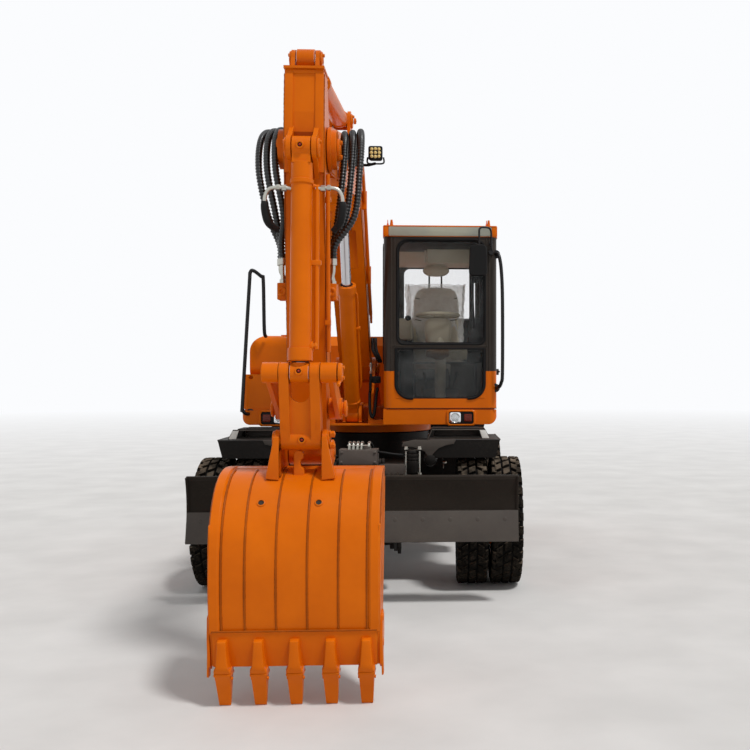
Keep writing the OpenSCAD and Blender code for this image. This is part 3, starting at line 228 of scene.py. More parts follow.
# Weld beads under the same enamel, drawn darker: painted shade for the shadow their ripples hold, and their
# grime
WELD = enamel("weld_bead_orange", "#AE5405", "#8A3E02", "#8A5A2A", 0.15, 0.42, 0.05, None, 0.5, specular=0.1)
# The undercarriage's near-black enamel is flatter and shows pale dust more
BLACK = enamel("chassis_enamel_black", "#151311", "#1C1917", "#6A6157", 0.36, 0.5, 0.03, "#34302C",
               specular=0.1)
# Rolled plate of the blade, sprayed thinly in brown-black
BLADE = enamel("blade_enamel_black", "#221D18", "#29231E", "#6A6056", 0.22, 0.55, 0.0, "#4A4440",
               specular=0.08)
# Bolt-on cutting edge: the spray is thinner on the rolled steel, and it looks paler
EDGE = enamel("cutting_edge_steel", "#4A443E", "#3F3935", "#7C7268", 0.3, 0.55, 0.0, "#6E665C", specular=0.25)
# Valve box in a satin warm grey
GREY = enamel("valve_enamel_grey", "#5A514B", "#4C4540", "#8E857A", 0.3, 0.5, 0.05, "#7A7068", specular=0.2)
# Roof panel in pale grey-green
ROOF_GREY = enamel("roof_enamel_pale", "#A3A493", "#8E9288", "#B9B6A8", 0.3, 0.42, 0.1, "#B8B8AA",
                   specular=0.25)
# Cab pillars in satin charcoal, a little brown
CAB_BLACK = enamel("cab_enamel_charcoal", "#37302A", "#2E2822", "#6E6860", 0.2, 0.38, 0.08, "#524A40",
                   specular=0.12)
# Hard chrome, ground and polished along the rod: a mirror with a faint satin
CHROME = moulded("hard_chrome", "#D6D6DA", 0.12, 400, 0.02, metallic=1.0, tint="#C2C2C8")
# Zinc plate with its slightly yellow passivation
ZINC = moulded("zinc_plated_steel", "#B9B7AE", 0.32, 220, 0.06, metallic=1.0, tint="#A29C8A")
# Pressed and cast parts left in dark phosphate
STEEL = moulded("phosphated_steel", "#3C3A39", 0.5, 180, 0.15, metallic=0.7, tint="#57504A")
# Spiral guard of the hoses, in glossy nylon
GUARD = moulded("spiral_guard_nylon", "#0B0B0B", 0.3, 300, 0.05, tint="#161616", specular=0.5)
# Carbon-black rubber, matt, with the bloom of dust that its moulding takes up
RUBBER = moulded("hose_rubber", "#0E0E0E", 0.55, 260, 0.12, tint="#201E1C", spread=0.5, specular=0.2)
SEAL = moulded("window_seal_rubber", "#0A0A0B", 0.62, 300, 0.10, tint="#161616", specular=0.2)
# ABS with a fine spark grain, 0.5 mm on the real part and drawn at 3 mm
PLASTIC = moulded("abs_black_grained", "#121212", 0.48, 320, 0.16, tint="#1C1B1A", specular=0.15)
TRIM = moulded("abs_grey_grained", "#5C5A52", 0.5, 320, 0.16, tint="#6A675E")
PALE_TRIM = moulded("abs_beige_grained", "#B0A892", 0.55, 320, 0.16, tint="#C2BBA8", specular=0.15)
DARK_TRIM = moulded("abs_charcoal_grained", "#1E2022", 0.55, 320, 0.16, tint="#2A2C2E")
# Split leather, scuffed along its folds
LEATHER = moulded("work_leather_brown", "#6B4A2C", 0.8, 160, 0.5, tint="#8A6A46", spread=0.8)
# Painted safety rail, powder coated in semi-gloss black
RAIL = moulded("powder_coat_black", "#0E0E10", 0.36, 420, 0.08, tint="#1A1A1C")
# Woven polyester of the seat under its shipping film
CLOTH = moulded("seat_polyester_weave", "#B8AE98", 0.85, 700, 0.45, tint="#9C937F", specular=0.15)
# Toughened panes, the lower front one grey, and thin film over the seat
GLASS = clear("window_glass_clear", "#3A4244", 0.05, 0.02, specular=0.25)
TINTED = clear("window_glass_grey_tint", "#0B0F12", 0.3, 0.03, bloom="#23282A", specular=0.25)
FILM = clear("seat_cover_polythene", "#F2F0E6", 0.36, 0.2, wrinkle=1.0, wrinkle_scale=14, bloom="#FFFFFF")
# Lamps: clear and coloured covers, bright bowls and the chips behind them
LENS = clear("lamp_lens_polycarbonate", "#E6EAEC", 0.28, 0.05)
INDICATOR = moulded("indicator_lens_red", "#6E1F0A", 0.18, 120, 0.25, tint="#8A2C10", spread=0.8)
BEACON = moulded("marker_lens_orange", "#D84A14", 0.2, 120, 0.2, tint="#E8701E", spread=0.8)
REFLECTOR = moulded("lamp_reflector_aluminised", "#E4E6E8", 0.10, 60, 0.2, metallic=1.0)
LED = moulded("led_emitter_phosphor", "#E8C878", 0.35, 200, 0.1, tint="#F0DCA8", spread=0.7)
# Soft dust caps of the grease nipples
CAP_RED = moulded("cap_polythene_red", "#9A1E14", 0.4, 200, 0.1, tint="#7E1810")


def tyre_rubber():
    """Tread rubber: black in the grooves, with grey-brown road dust on the blocks and walls."""
    material, tree, shader = blank("tyre_rubber_dusty")
    place = add(tree, "TexCoord").outputs["Object"]
    patches = noise(tree, place, 14, 7, 0.7)
    feed(tree, shader, {
        "Base Color": ramp(tree, patches, [(0.45, "#0D0C0B"), (0.62, "#171513"), (0.8, "#3E3730")]),
        "Normal": bump(tree, noise(tree, place, 240, 3), 0.3, 0.002),
        "Roughness": mapped(tree, patches, 0.55, 0.95), "Specular IOR Level": 0.08})
    return material


TYRE = tyre_rubber()
# Pale plates on the ends of the front steps: painted highlight for their sunlit sides
PAINTED_HIGHLIGHT_PLATE = enamel("step_plate_painted_highlight", "#DEDCD6", "#CFCDC6", "#9A958A", 0.15, 0.4, 0.1, None, 0.3,
                     specular=0.3)
# Tread blocks, black on their flanks, with tan dust on what faces up
TREAD = enamel("tread_blocks_dusty", "#0A0908", "#100E0C", "#A4927E", 0.62, 0.85, 0.0, None, 0.6,
               specular=0.05)

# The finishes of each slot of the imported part
SLOTS = {
    "orange_paint": (ORANGE, PAINTED_SHADE_ORANGE, WELD, INDICATOR, BEACON),
    "dark_paint": (BLACK, BLADE, EDGE, CAB_BLACK),
    "grey_paint": (GREY, ROOF_GREY, PAINTED_HIGHLIGHT_PLATE),
    "bright_rod": (CHROME, REFLECTOR),
    "steel": (ZINC, STEEL, LED),
    "tyre": (TYRE, TREAD, RUBBER, GUARD),
    "black_plastic": (SEAL, PLASTIC, TRIM, PALE_TRIM, DARK_TRIM, RAIL, CAP_RED),
    "seat_cloth": (CLOTH, LEATHER),
    "glazing": (GLASS, TINTED, FILM, LENS),
}
SLOT_OF = {finish.name: slot for slot, finishes in SLOTS.items() for finish in finishes}


# ---- Making pieces ----


def side(ahead, z, x):
    """A point of a side outline, at x."""
    return at(x, ahead, z)


def plan(x, ahead, z):
    """A point of a plan outline, at height z."""
    return at(x, ahead, z)


def front(x, z, ahead):
    """A point of a front outline, at a distance ahead."""
    return at(x, ahead, z)


def smooth_path(points, steps=6, closed=False):
    """A curve through points, with some steps between each two."""
    points = [Vector(p) for p in points]
    count = len(points)
    path = []
    for i in range(count if closed else count - 1):
        a, b = points[i], points[(i + 1) % count]
        before = points[i - 1] if closed or i > 0 else a * 2 - b
        after = points[(i + 2) % count] if closed or i + 2 < count else b * 2 - a
        for k in range(steps):
            t = k / steps
            path.append(0.5 * (2 * a + (b - before) * t + (2 * before - 5 * a + 4 * b - after) * t * t
                               + (3 * a - before - 3 * b + after) * t ** 3))
    return path if closed else path + [points[-1]]


def rounded(low, high, radius, steps=6):
    """A rounded rectangle as an outline."""
    corners = [(high[0] - radius, high[1] - radius, 0), (low[0] + radius, high[1] - radius, 90),
               (low[0] + radius, low[1] + radius, 180), (high[0] - radius, low[1] + radius, 270)]
    outline = []
    for u, v, start in corners:
        for k in range(steps + 1):
            a = math.radians(start + 90 * k / steps)
            outline.append((u + radius * math.cos(a), v + radius * math.sin(a)))
    return outline


def strap(p, q, rp, rq, steps=16):
    """An outline round two pins."""
    dx, dy = q[0] - p[0], q[1] - p[1]
    length = math.hypot(dx, dy)
    along = math.atan2(dy, dx)
    half = math.acos((rp - rq) / length)
    outline = []
    for k in range(steps + 1):
        a = along + half + (math.tau - 2 * half) * k / steps
        outline.append((p[0] + rp * math.cos(a), p[1] + rp * math.sin(a)))
    for k in range(steps + 1):
        a = along - half + 2 * half * k / steps
        outline.append((q[0] + rq * math.cos(a), q[1] + rq * math.sin(a)))
    return outline


def squarish(value, power):
    """Swells a sine or cosine, so that its circle turns nearly square."""
    return math.copysign(abs(value) ** power, value)


class Form:
    """Collects the solids of one piece in a mesh."""

    def __init__(self):
        self.mesh = bmesh.new()

    def skin(self, rings, closed=True, caps=True, loop=False):
        """Quads between rings of points, with flat ends."""
        rows = [[self.mesh.verts.new(p) for p in ring] for ring in rings]
        faces = []
        count = len(rows[0])
        last = len(rows) if loop else len(rows) - 1
        for i in range(last):
            a, b = rows[i], rows[(i + 1) % len(rows)]
            for k in range(count if closed else count - 1):
                n = (k + 1) % count
                faces.append(self.mesh.faces.new((a[k], a[n], b[n], b[k])))
        if caps and not loop:
            faces.append(self.mesh.faces.new(rows[0]))
            faces.append(self.mesh.faces.new(rows[-1]))
        return faces

    def soften(self, faces, width, steps=2, angle=40):
        """Rounds the sharp edges of some faces."""
        bmesh.ops.recalc_face_normals(self.mesh, faces=faces)
        edges = {e for f in faces for e in f.edges}
        limit = math.radians(angle)
        sharp = [e for e in edges if len(e.link_faces) == 2 and e.calc_face_angle() > limit]
        bmesh.ops.bevel(self.mesh, geom=sharp, offset=width, offset_type="OFFSET", segments=steps,
                        profile=0.6, affect="EDGES", clamp_overlap=True)

    def prism(self, view, outline, low, high, soft=0.0, steps=2):
        """An outline carried from low to high across its view."""
        faces = self.skin([[view(u, v, w) for u, v in outline] for w in (low, high)])
        if soft:
            self.soften(faces, soft, steps)

    def box(self, low, high, soft=0.0, steps=2):
        """A block between two corners, each x, ahead, z."""
        outline = [(low[0], low[1]), (high[0], low[1]), (high[0], high[1]), (low[0], high[1])]
        self.prism(plan, outline, low[2], high[2], soft, steps)

    def turned(self, origin, axis, profile, steps=48, hollow=False):
        """A profile of (along, radius) points turned about an axis."""
        axis = Vector(axis).normalized()
        u = axis.orthogonal().normalized()
        v = axis.cross(u)
        rings = []
        for along, radius in profile:
            centre = origin + axis * along
            rings.append([centre + radius * (math.cos(a) * u + math.sin(a) * v)
                          for a in (math.tau * k / steps for k in range(steps))])
        return self.skin(rings, loop=hollow)

    def rod(self, p, q, radius, soft=2.0, steps=32):
        """A round bar with chamfered ends."""
        length = (q - p).length
        soft = min(soft, radius * 0.4, length * 0.3)
        self.turned(p, q - p, [(0, radius - soft), (soft, radius), (length - soft, radius),
                               (length, radius - soft)], steps)

    def tube(self, path, radius, steps=12, caps=True, loop=False):
        """A round tube along a path, radius a number or one for each point."""
        path = [Vector(p) for p in path]
        count = len(path)
        radii = radius if isinstance(radius, (list, tuple)) else [radius] * count
        normal = None
        rings = []
        for i, p in enumerate(path):
            ahead = path[(i + 1) % count] if loop or i + 1 < count else p
            behind = path[i - 1] if loop or i > 0 else p
            tangent = (ahead - behind).normalized()
            if normal is None:
                normal = tangent.orthogonal().normalized()
            normal = (normal - tangent * normal.dot(tangent)).normalized()
            other = tangent.cross(normal)
            rings.append([p + radii[i] * (math.cos(a) * normal + math.sin(a) * other)
                          for a in (math.tau * k / steps for k in range(steps))])
        self.skin(rings, caps=caps, loop=loop)

    def curve(self, points, between, radius, steps=12):
        """A round tube bent smoothly through points, each x, ahead, z."""
        self.tube(smooth_path([at(*p) for p in points], between), radius, steps)

    def bolt(self, point, axis, across=24, height=14, washer=True):
        """A hexagon head on its washer."""
        axis = Vector(axis).normalized()
        start = 0.0
        if washer:
            self.turned(point, axis, [(0, across * 0.72), (3, across * 0.72), (3.6, across * 0.68)], 24)
            start = 3.0
        radius = across / 1.732
        self.turned(point, axis, [(start, radius), (start + height - 2, radius),
                                  (start + height, radius - 3)], 6)

    def weld(self, path, radius, seed=0):
        """A bead with the ripples of hand welding."""
        random.seed(seed)
        path = [Vector(p) for p in path]
        radii = [radius * (0.85 + 0.3 * random.random()) for _ in path]
        self.tube(path, radii, 8)

    def make(self, name, finish, body, replaces=(), angle=34, slot=None):
        """Turns the form into a piece that rides on a body, or on none yet."""
        slot = slot or SLOT_OF[finish.name]
        bmesh.ops.recalc_face_normals(self.mesh, faces=self.mesh.faces)
        data = bpy.data.meshes.new(name)
        self.mesh.to_mesh(data)
        self.mesh.free()
        data.transform(Matrix.Scale(MM, 4))
        data.polygons.foreach_set("use_smooth", [True] * len(data.polygons))
        data.set_sharp_from_angle(angle=math.radians(angle))
        data.materials.append(finish)
        piece = bpy.data.objects.new(name, data)
        bpy.context.scene.collection.objects.link(piece)
        if body:
            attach(piece, body)
        if replaces:
            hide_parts(*replaces)
        return piece


def resample(path, spacing):
    """The same path with points at an even spacing."""
    path = [Vector(p) for p in path]
    lengths = [0.0]
    for a, b in zip(path, path[1:]):
        lengths.append(lengths[-1] + (b - a).length)
    count = max(2, round(lengths[-1] / spacing))
    points = []
    i = 0
    for k in range(count + 1):
        target = lengths[-1] * k / count
        while i < len(path) - 2 and lengths[i + 1] < target:
            i += 1
        span = lengths[i + 1] - lengths[i] or 1.0
        points.append(path[i].lerp(path[i + 1], (target - lengths[i]) / span))
    return points


def finish_nodes(finish, *nodes):
    """Gives carried-over solids their finish."""
    for node in nodes:
        for material_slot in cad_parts[node].material_slots:
            material_slot.material = finish


finish_nodes(
    ORANGE, "upper_frame", "counterweight", "engine_hood", "side_tank", "cab_base", "cab_roof", "boom",
    "boom_barrel", "arm", "arm_barrel", "arm_pipes", "bucket", "bucket_teeth", "bucket_barrel", "rocker",
    "link", "wheel_front_left", "wheel_front_right", "wheel_rear_left", "wheel_rear_right")
finish_nodes(
    BLACK, "chassis_frame", "turntable", "front_axle", "rear_axle", "driveline", "mudguards", "knuckle_left",
    "knuckle_right", "blade_links_lower", "blade_links_upper", "blade_barrels")
finish_nodes(BLADE, "blade")
finish_nodes(GREY, "valve_box")
finish_nodes(STEEL, "engine")
finish_nodes(CHROME, "boom_rod", "arm_rod", "bucket_rod", "blade_rods", "tie_rod")
finish_nodes(TYRE, "tyres_front_left", "tyres_front_right", "tyres_rear_left", "tyres_rear_right")
finish_nodes(CAB_BLACK, "cab_frame", "door")
finish_nodes(GLASS, "cab_glass", "door_glass")
finish_nodes(PLASTIC, "seat_base", "controls", "side_mirror", "work_lamp", "headlamps")
finish_nodes(RAIL, "rails")
finish_nodes(CLOTH, "seat")


# ---- Tyres ----

TYRE_R = 485
TYRE_HALF = 116
FLANGE_R = 272
TRACK_HALF = 965
TWIN_HALF = 127.5
AXLES = {"front": 1150, "rear": -1350}
GROOVE = 20
BLOCKS = 30
NUT_CIRCLE = 142
NUTS = 10
# Stations of a shoulder lug down the wall: radius, distance from the tyre's middle, half its length
SHOULDER = [(TYRE_R - 2, 98, 29), (TYRE_R - 6, 107, 30), (462, 114, 30), (432, 115.5, 26)]


def tread_block(form, centre_x, angle, width, length, skew, low, high):
    """One tread block, bent round the tyre, with a chamfered top."""
    rings = []
    for radius, shrink in ((low, 0), (high - 3, 0), (high, 4)):
        ring = []
        half_w, half_l = width / 2 - shrink, length / 2 - shrink
        for u, v in ((-1, -1), (-1, 0), (-1, 1), (1, 1), (1, 0), (1, -1)):
            across = centre_x + u * half_w
            along = v * half_l + u * skew
            a = angle + along / TYRE_R
            ring.append(Vector((across, radius * math.sin(a), radius * math.cos(a))))
        rings.append(ring)
    form.skin(rings)


def tyre_forms():
    """A block-tread tyre round the x axis, in its own frame: its carcass and its blocks."""
    form, tread = Form(), Form()
    crown = TYRE_R - GROOVE
    wall = [
        (-TYRE_HALF + 24, 254), (-TYRE_HALF + 22, FLANGE_R + 2), (-TYRE_HALF + 12, FLANGE_R + 10),
        (-TYRE_HALF + 8, FLANGE_R + 26), (-TYRE_HALF + 3, FLANGE_R + 34), (-TYRE_HALF + 4, FLANGE_R + 40),
        (-TYRE_HALF, 350), (-TYRE_HALF, 380), (-TYRE_HALF + 3, 410), (-TYRE_HALF + 1, 414),
        (-TYRE_HALF + 6, 440), (-TYRE_HALF + 10, 456), (-TYRE_HALF + 26, crown - 2), (-50, crown)]
    profile = wall + [(-x, r) for x, r in reversed(wall)]
    form.turned(Vector((0, 0, 0)), (1, 0, 0), profile, 96, hollow=True)
    pitch = math.tau / BLOCKS
    for k in range(BLOCKS):
        a = k * pitch
        tread_block(tread, 0, a, 50, 68, 14, crown - 3, TYRE_R)
        for s in (-1, 1):
            tread_block(tread, s * 61, a + pitch / 2, 46, 70, -14 * s, crown - 3, TYRE_R - 1)
            # Shoulder lug that runs down the wall
            rings = []
            for radius, x, half in SHOULDER:
                ring = []
                for depth, v in ((0, -1), (0, 1), (26, 1), (26, -1)):
                    b = a + (v * half + 14) / TYRE_R
                    r = radius - (depth * 0.25 if radius > 470 else 0)
                    ring.append(Vector((s * (x - depth), r * math.sin(b), r * math.cos(b))))
                rings.append(ring)
            tread.skin(rings)
    return form, tread


def tyres():
    """Two tyres on each hub, with their nuts and valve."""
    masters = tyre_forms()
    for row, ahead in AXLES.items():
        for s, hand in ((1, "left"), (-1, "right")):
            body = f"wheel_{row}_{hand}"
            for master, name, finish, replaced in zip(
                    masters, ("tyre_carcass", "tyre_tread"), (TYRE, TREAD), ([f"tyres_{row}_{hand}"], [])):
                pair = Form()
                for e in (-1, 1):
                    copy = bpy.data.meshes.new("tyre_copy")
                    master.mesh.to_mesh(copy)
                    place = Matrix.Translation(at(s * TRACK_HALF + e * TWIN_HALF, ahead, TYRE_R))
                    turn = Matrix.Rotation(math.radians(7 * e + 3 * s), 4, "X")
                    copy.transform(place @ turn)
                    pair.mesh.from_mesh(copy)
                    bpy.data.meshes.remove(copy)
                pair.make(f"{name}_{row}_{hand}", finish, body, replaced)
            nuts = Form()
            for k in range(NUTS):
                a = math.tau * k / NUTS
                for e in (-1, 1):
                    centre = at(s * TRACK_HALF + e * 14, ahead, TYRE_R)
                    spot = centre + Vector((0, NUT_CIRCLE * math.cos(a), NUT_CIRCLE * math.sin(a)))
                    nuts.bolt(spot, (e, 0, 0), 30, 24)
            nuts.make(f"wheel_nuts_{row}_{hand}", ZINC, body)
            valve = Form()
            valve.curve([(s * (TRACK_HALF + 60), ahead + 200, TYRE_R),
                         (s * (TRACK_HALF + 96), ahead + 212, TYRE_R),
                         (s * (TRACK_HALF + 128), ahead + 214, TYRE_R)], 6, 6)
            valve.make(f"tyre_valve_{row}_{hand}", ZINC, body)
    for master in masters:
        master.mesh.free()


# ---- Bucket ----

BUCKET_HALF = 404
WRAP_HALF = 347
BUCKET_BACK = [
    (3560, 1108), (3640, 1113), (3720, 1112), (3800, 1099), (3868, 1072), (3930, 1032), (3984, 978),
    (4028, 908), (4058, 826), (4074, 735), (4079, 640), (4078, 545), (4070, 450), (4056, 372)]
LIP_EDGE = (4018, 199)
BUCKET_FRONT = [(3850, 190), (3770, 370), (3690, 560), (3628, 730), (3570, 900), (3542, 1060)]
PIN_F, PIN_Z = 3500, 1190
LINK_FOOT = (3800, 1272)
LINK_TOP = (3870, 1611)
ROCKER_PIN = (3500, 1420)
EAR_X = 118
LIP_HALF = 392
TOOTH_PITCH = 171
PLUG_Z = 975


def curve_with_normals(points, steps=4):
    """A smooth side curve as (point, outward normal) pairs."""
    path = [(p.x, p.y) for p in smooth_path([(a, b, 0) for a, b in points], steps)]
    result = []
    for i, p in enumerate(path):
        a, b = path[max(0, i - 1)], path[min(len(path) - 1, i + 1)]
        dx, dy = b[0] - a[0], b[1] - a[1]
        length = math.hypot(dx, dy)
        result.append((p, (-dy / length, dx / length)))
    return result


def bucket():
    """The welded shell, its ears, pins, hook, teeth and side cutters."""
    back = curve_with_normals(BUCKET_BACK)

    def shell_point(pair, x, out):
        (f, z), (nf, nz) = pair
        return at(BOOM_X + x, f + nf * out, z + nz * out)

    form = Form()
    # Wrapper plate, rolled
    rings = [[shell_point(p, -BUCKET_HALF + 14, 0), shell_point(p, BUCKET_HALF - 14, 0),
              shell_point(p, BUCKET_HALF - 14, -14), shell_point(p, -BUCKET_HALF + 14, -14)] for p in back]
    form.skin(rings)
    # Edge strips, proud of the wrapper, with a sloped inner side
    for s in (-1, 1):
        section = [(WRAP_HALF, -2), (WRAP_HALF + 16, 11), (BUCKET_HALF - 2, 12), (BUCKET_HALF, 9),
                   (BUCKET_HALF, -20), (BUCKET_HALF - 18, -20), (BUCKET_HALF - 18, -4)]
        form.skin([[shell_point(p, s * x, out) for x, out in section] for p in back])
        side_outline = [p for p, _ in back] + [LIP_EDGE, (3985, 190)] + BUCKET_FRONT
        form.prism(side, side_outline, BOOM_X + s * (BUCKET_HALF - 19), BOOM_X + s * (BUCKET_HALF - 1), 2)
        # Wear plate low on the outside
        wear = [(4070, 880), (4086, 760), (4089, 560), (4066, 372), (4040, 330), (3960, 380), (3880, 700),
                (3960, 900)]
        wear = [(f - 9, z) for f, z in wear]
        form.prism(side, wear, BOOM_X + s * (BUCKET_HALF - 4), BOOM_X + s * (BUCKET_HALF + 5), 2)
        # Mouth rim along the side plate's front edge
        rim = smooth_path([at(BOOM_X + s * (BUCKET_HALF - 10), f, z) for f, z in BUCKET_FRONT], 4)
        form.tube(rim, 11, 8)
    # Upper edge of the mouth, folded
    form.prism(side, [(3552, 1120), (3552, 1078), (3572, 1072), (3650, 1092), (3650, 1116)],
               BOOM_X - BUCKET_HALF + 20, BOOM_X + BUCKET_HALF - 20, 3)
    # Lip plate
    lip = [(4046, 378), (4066, 374), (4026, 197), (4004, 193), (4020, 300)]
    form.prism(side, lip, BOOM_X - LIP_HALF, BOOM_X + LIP_HALF, 2.5)
    form.make("bucket_shell", ORANGE, "bucket", ["bucket"])

    # Beads between the wrapper's strips, round the edge strips and along the lip
    beads = Form()
    for i, x in enumerate((-235, -87, 61, 209)):
        beads.weld(resample([shell_point(p, x, 0.5) for p in back[8:]], 8), 5.6, i)
    for i, s in enumerate((-1, 1)):
        beads.weld(resample([shell_point(p, s * WRAP_HALF, 1) for p in back[8:]], 8), 6.2, 10 + i)
        beads.weld(resample([shell_point(p, s * (BUCKET_HALF + 2), 0) for p in back[4:36]], 9), 4.5, 14 + i)
    beads.weld(resample([at(BOOM_X + s * LIP_HALF, 4067, 376) for s in (-1, 1)], 9), 5.0, 20)
    beads.make("bucket_welds", WELD, "bucket", angle=70)

    # Plugged drain holes in the back
    plugs = Form()
    bores = Form()
    for x in (-172, 106):
        pair = min(back, key=lambda p: abs(p[0][1] - PLUG_Z) + (0 if p[0][0] > 3900 else 999))
        centre = shell_point(pair, x, 0)
        axis = shell_point(pair, x, 1) - centre
        rim = [(-2, 21), (4, 20), (6, 17), (6, 14.5), (0.6, 14), (-2, 14)]
        plugs.turned(centre, axis, rim, 28, hollow=True)
        bores.turned(centre, axis, [(-1, 14.4), (1.2, 14.4), (1.2, 8), (0.2, 7)], 24)
    plugs.make("bucket_hole_rims", ORANGE, "bucket")
    bores.make("bucket_hole_plugs", CAB_BLACK, "bucket")

    # Ears of the linkage, gusseted onto the top plate
    ears = Form()
    for s in (-1, 1):
        x = BOOM_X + s * EAR_X
        outline = [(3440, 1175), (3450, 1230), (3500, 1254), (3560, 1240)] + \
            [(f, z) for f, z in strap(LINK_FOOT, (3801, 1271), 51, 50, 10) if z > 1262] + \
            [(3868, 1200), (3850, 1082), (3836, 1078), (3700, 1108), (3570, 1100), (3500, 1128), (3455, 1140)]
        ears.prism(side, outline, x - 12, x + 12, 3)
        for p, r in (((PIN_F, PIN_Z), 60), (LINK_FOOT, 52)):
            ears.turned(at(x - 14, *p), (1, 0, 0), [(0, r - 3), (3, r), (25, r), (28, r - 3)], 40)
        # Sloped front gusset, as in the photograph
        ears.prism(front, [(x - s * 12, 1292), (x + s * 12, 1292), (x + s * 54, 1084), (x - s * 12, 1076)],
                   3842, 3872, 3)
    ears.make("bucket_ears", ORANGE, "bucket")
    ear_beads = Form()
    for i, s in enumerate((-1, 1)):
        for j, e in enumerate((-1, 1)):
            x = s * EAR_X + e * 13
            points = [at(BOOM_X + x, f, z + 10) for f, z in
                      ((3570, 1102), (3640, 1106), (3720, 1106), (3800, 1094), (3840, 1080))]
            ear_beads.weld(resample(smooth_path(points, 3), 9), 6, 30 + 2 * i + j)
    ear_beads.make("bucket_ear_welds", WELD, "bucket", angle=70)

    # Pins with their retaining bolts
    pins = Form()
    # The rocker's plates pass the bucket's own pin, so its heads are thin
    for p, grow in (((PIN_F, PIN_Z), 0), (LINK_FOOT, 8)):
        pins.rod(at(BOOM_X - EAR_X - 17 - grow, *p), at(BOOM_X + EAR_X + 17 + grow, *p), 34.5, 3)
        for s in (-1, 1):
            pins.turned(at(BOOM_X + s * (EAR_X + 10), *p), (s, 0, 0),
                        [(0, 46), (5 + grow, 46), (7 + grow, 44), (7 + grow, 20), (8 + grow, 18)], 36)
    pins.make("bucket_pins", ORANGE, "bucket")
    nuts = Form()
    base = at(BOOM_X + EAR_X + 12, *LINK_FOOT)
    for dz in (-26, 30):
        nuts.rod(base + Vector((0, -22, dz)), base + Vector((40, -22, dz)), 9, 2, 16)
        nuts.bolt(base + Vector((14, -22, dz)), (1, 0, 0), 30, 20)
    nuts.make("bucket_pin_nuts", ORANGE, "bucket")

    # Lifting hook on the top plate
    hook = Form()
    x = BOOM_X - 15
    outline = [(x - 26, 1088), (x + 30, 1088), (x + 27, 1122), (x + 23, 1132), (x + 12, 1138), (x + 9, 1150),
               (x + 11, 1172), (x + 24, 1180), (x + 26, 1200), (x + 18, 1216), (x + 2, 1221), (x - 14, 1218),
               (x - 24, 1206)]
    hook.prism(front, outline, 3776, 3812, 6, 3)
    hook.make("bucket_hook", ORANGE, "bucket")

    # Adapters welded over the lip, each with its tooth
    adapters = Form()
    teeth = Form()
    for i in range(-2, 3):
        x = BOOM_X + i * TOOTH_PITCH
        rings = []
        for z, f_out, half in ((338, 4077, 24), (330, 4092, 26), (300, 4091, 27), (215, 4086, 33),
                               (196, 4082, 38), (180, 4072, 40)):
            f_in = LIP_EDGE[0] + (z - 199) * 0.225 + 2
            rings.append([at(x - half, f_in, z), at(x - half + 5, f_out - 2, z), at(x - half + 9, f_out, z),
                          at(x + half - 9, f_out, z), at(x + half - 5, f_out - 2, z), at(x + half, f_in, z)])
        faces = adapters.skin(rings)
        adapters.soften(faces, 2.5, 2, 50)
        outline = [(4072, 180), (4064, 168), (3992, 156), (3988, 176), (3996, 197), (4030, 200), (4070, 194)]
        adapters.prism(side, outline, x - 40, x + 40, 3)
        # Tooth: a socket with a collar, tapering to the point
        stations = ((172, 3980, 4070, 41), (160, 3979, 4066, 41), (156, 3979, 4062, 36), (90, 3980, 4032, 33),
                    (30, 3982, 4006, 30), (2, 3986, 3994, 28))
        rings = []
        for z, f0, f1, half in stations:
            rings.append([at(x - half, f0, z), at(x - half, f1, z), at(x + half, f1, z), at(x + half, f0, z)])
        faces = teeth.skin(rings)
        teeth.soften(faces, 2.5, 2, 30)
        # Retaining pin through the socket
        teeth.rod(at(x - 43, 4022, 140), at(x + 43, 4022, 140), 8, 1, 14)
    adapters.make("tooth_adapters", ORANGE, "bucket", ["bucket_teeth"])
    teeth.make("bucket_tooth_points", ORANGE, "bucket")

    # Side cutters, flared outwards, each on two bolts
    cutters = Form()
    heads = Form()
    for s in (-1, 1):
        x0 = BOOM_X + s * BUCKET_HALF
        outline = [(4046, 440), (4052, 330), (4034, 200), (3990, 178), (3930, 260), (3880, 330), (3900, 420),
                   (3960, 452)]
        cutters.prism(side, outline, x0 - 1, x0 + s * 15, 3)
        flare = [at(x0 + s * 4, 4040, 330), at(x0 + s * 15, 4040, 330), at(x0 + s * 19, 4030, 150),
                 at(x0 + s * 10, 4030, 146)]
        inner = [at(x0 + s * 4, 3975, 330), at(x0 + s * 15, 3975, 330), at(x0 + s * 19, 3985, 150),
                 at(x0 + s * 10, 3985, 146)]
        faces = cutters.skin([flare, inner])
        cutters.soften(faces, 2)
        for f, z in ((4012, 425), (4000, 300)):
            heads.bolt(at(x0 + s * 3, f, z), (s, 0, 0), 34, 13)
    cutters.make("side_cutters", ORANGE, "bucket")
    heads.make("side_cutter_bolts", ORANGE, "bucket")


# ---- Cab ----

CAB_X0, CAB_X1 = 152, 1047
CAB_FRONT, CAB_BACK = 1000, -520
CAB_FLOOR = 1357
CAB_SPLIT_Z = 1631
ROOF_Z0, ROOF_Z1 = 2690, 2778
FRONT_WINDOWS = {"upper": ((270, 1851), (945, 2660)), "lower": ((254, 1419), (945, 1804))}
SIDE_WINDOW = ((-400, 1700), (880, 2640))
REAR_WINDOW = ((260, 1760), (940, 2600))
DOOR_WINDOW = ((-170, 1720), (750, 2600))
# Radii of the front panes' outer corners
UPPER_R, LOWER_R = 88, 112
DOOR = ((-250, 1359), (830, 2652))
HINGE_Z = (1700, 2460)
HANDLE_Z = 1628
CONSOLE_X = 285
SEAT_X = 600
HEADLAMPS = ((764, 1), (-700, -1))
HEADLAMP_Z = 1263
RAIL_FEET = [(-884, 985, 1302), (1040, 970, 2558), (1038, 970, 1497)]


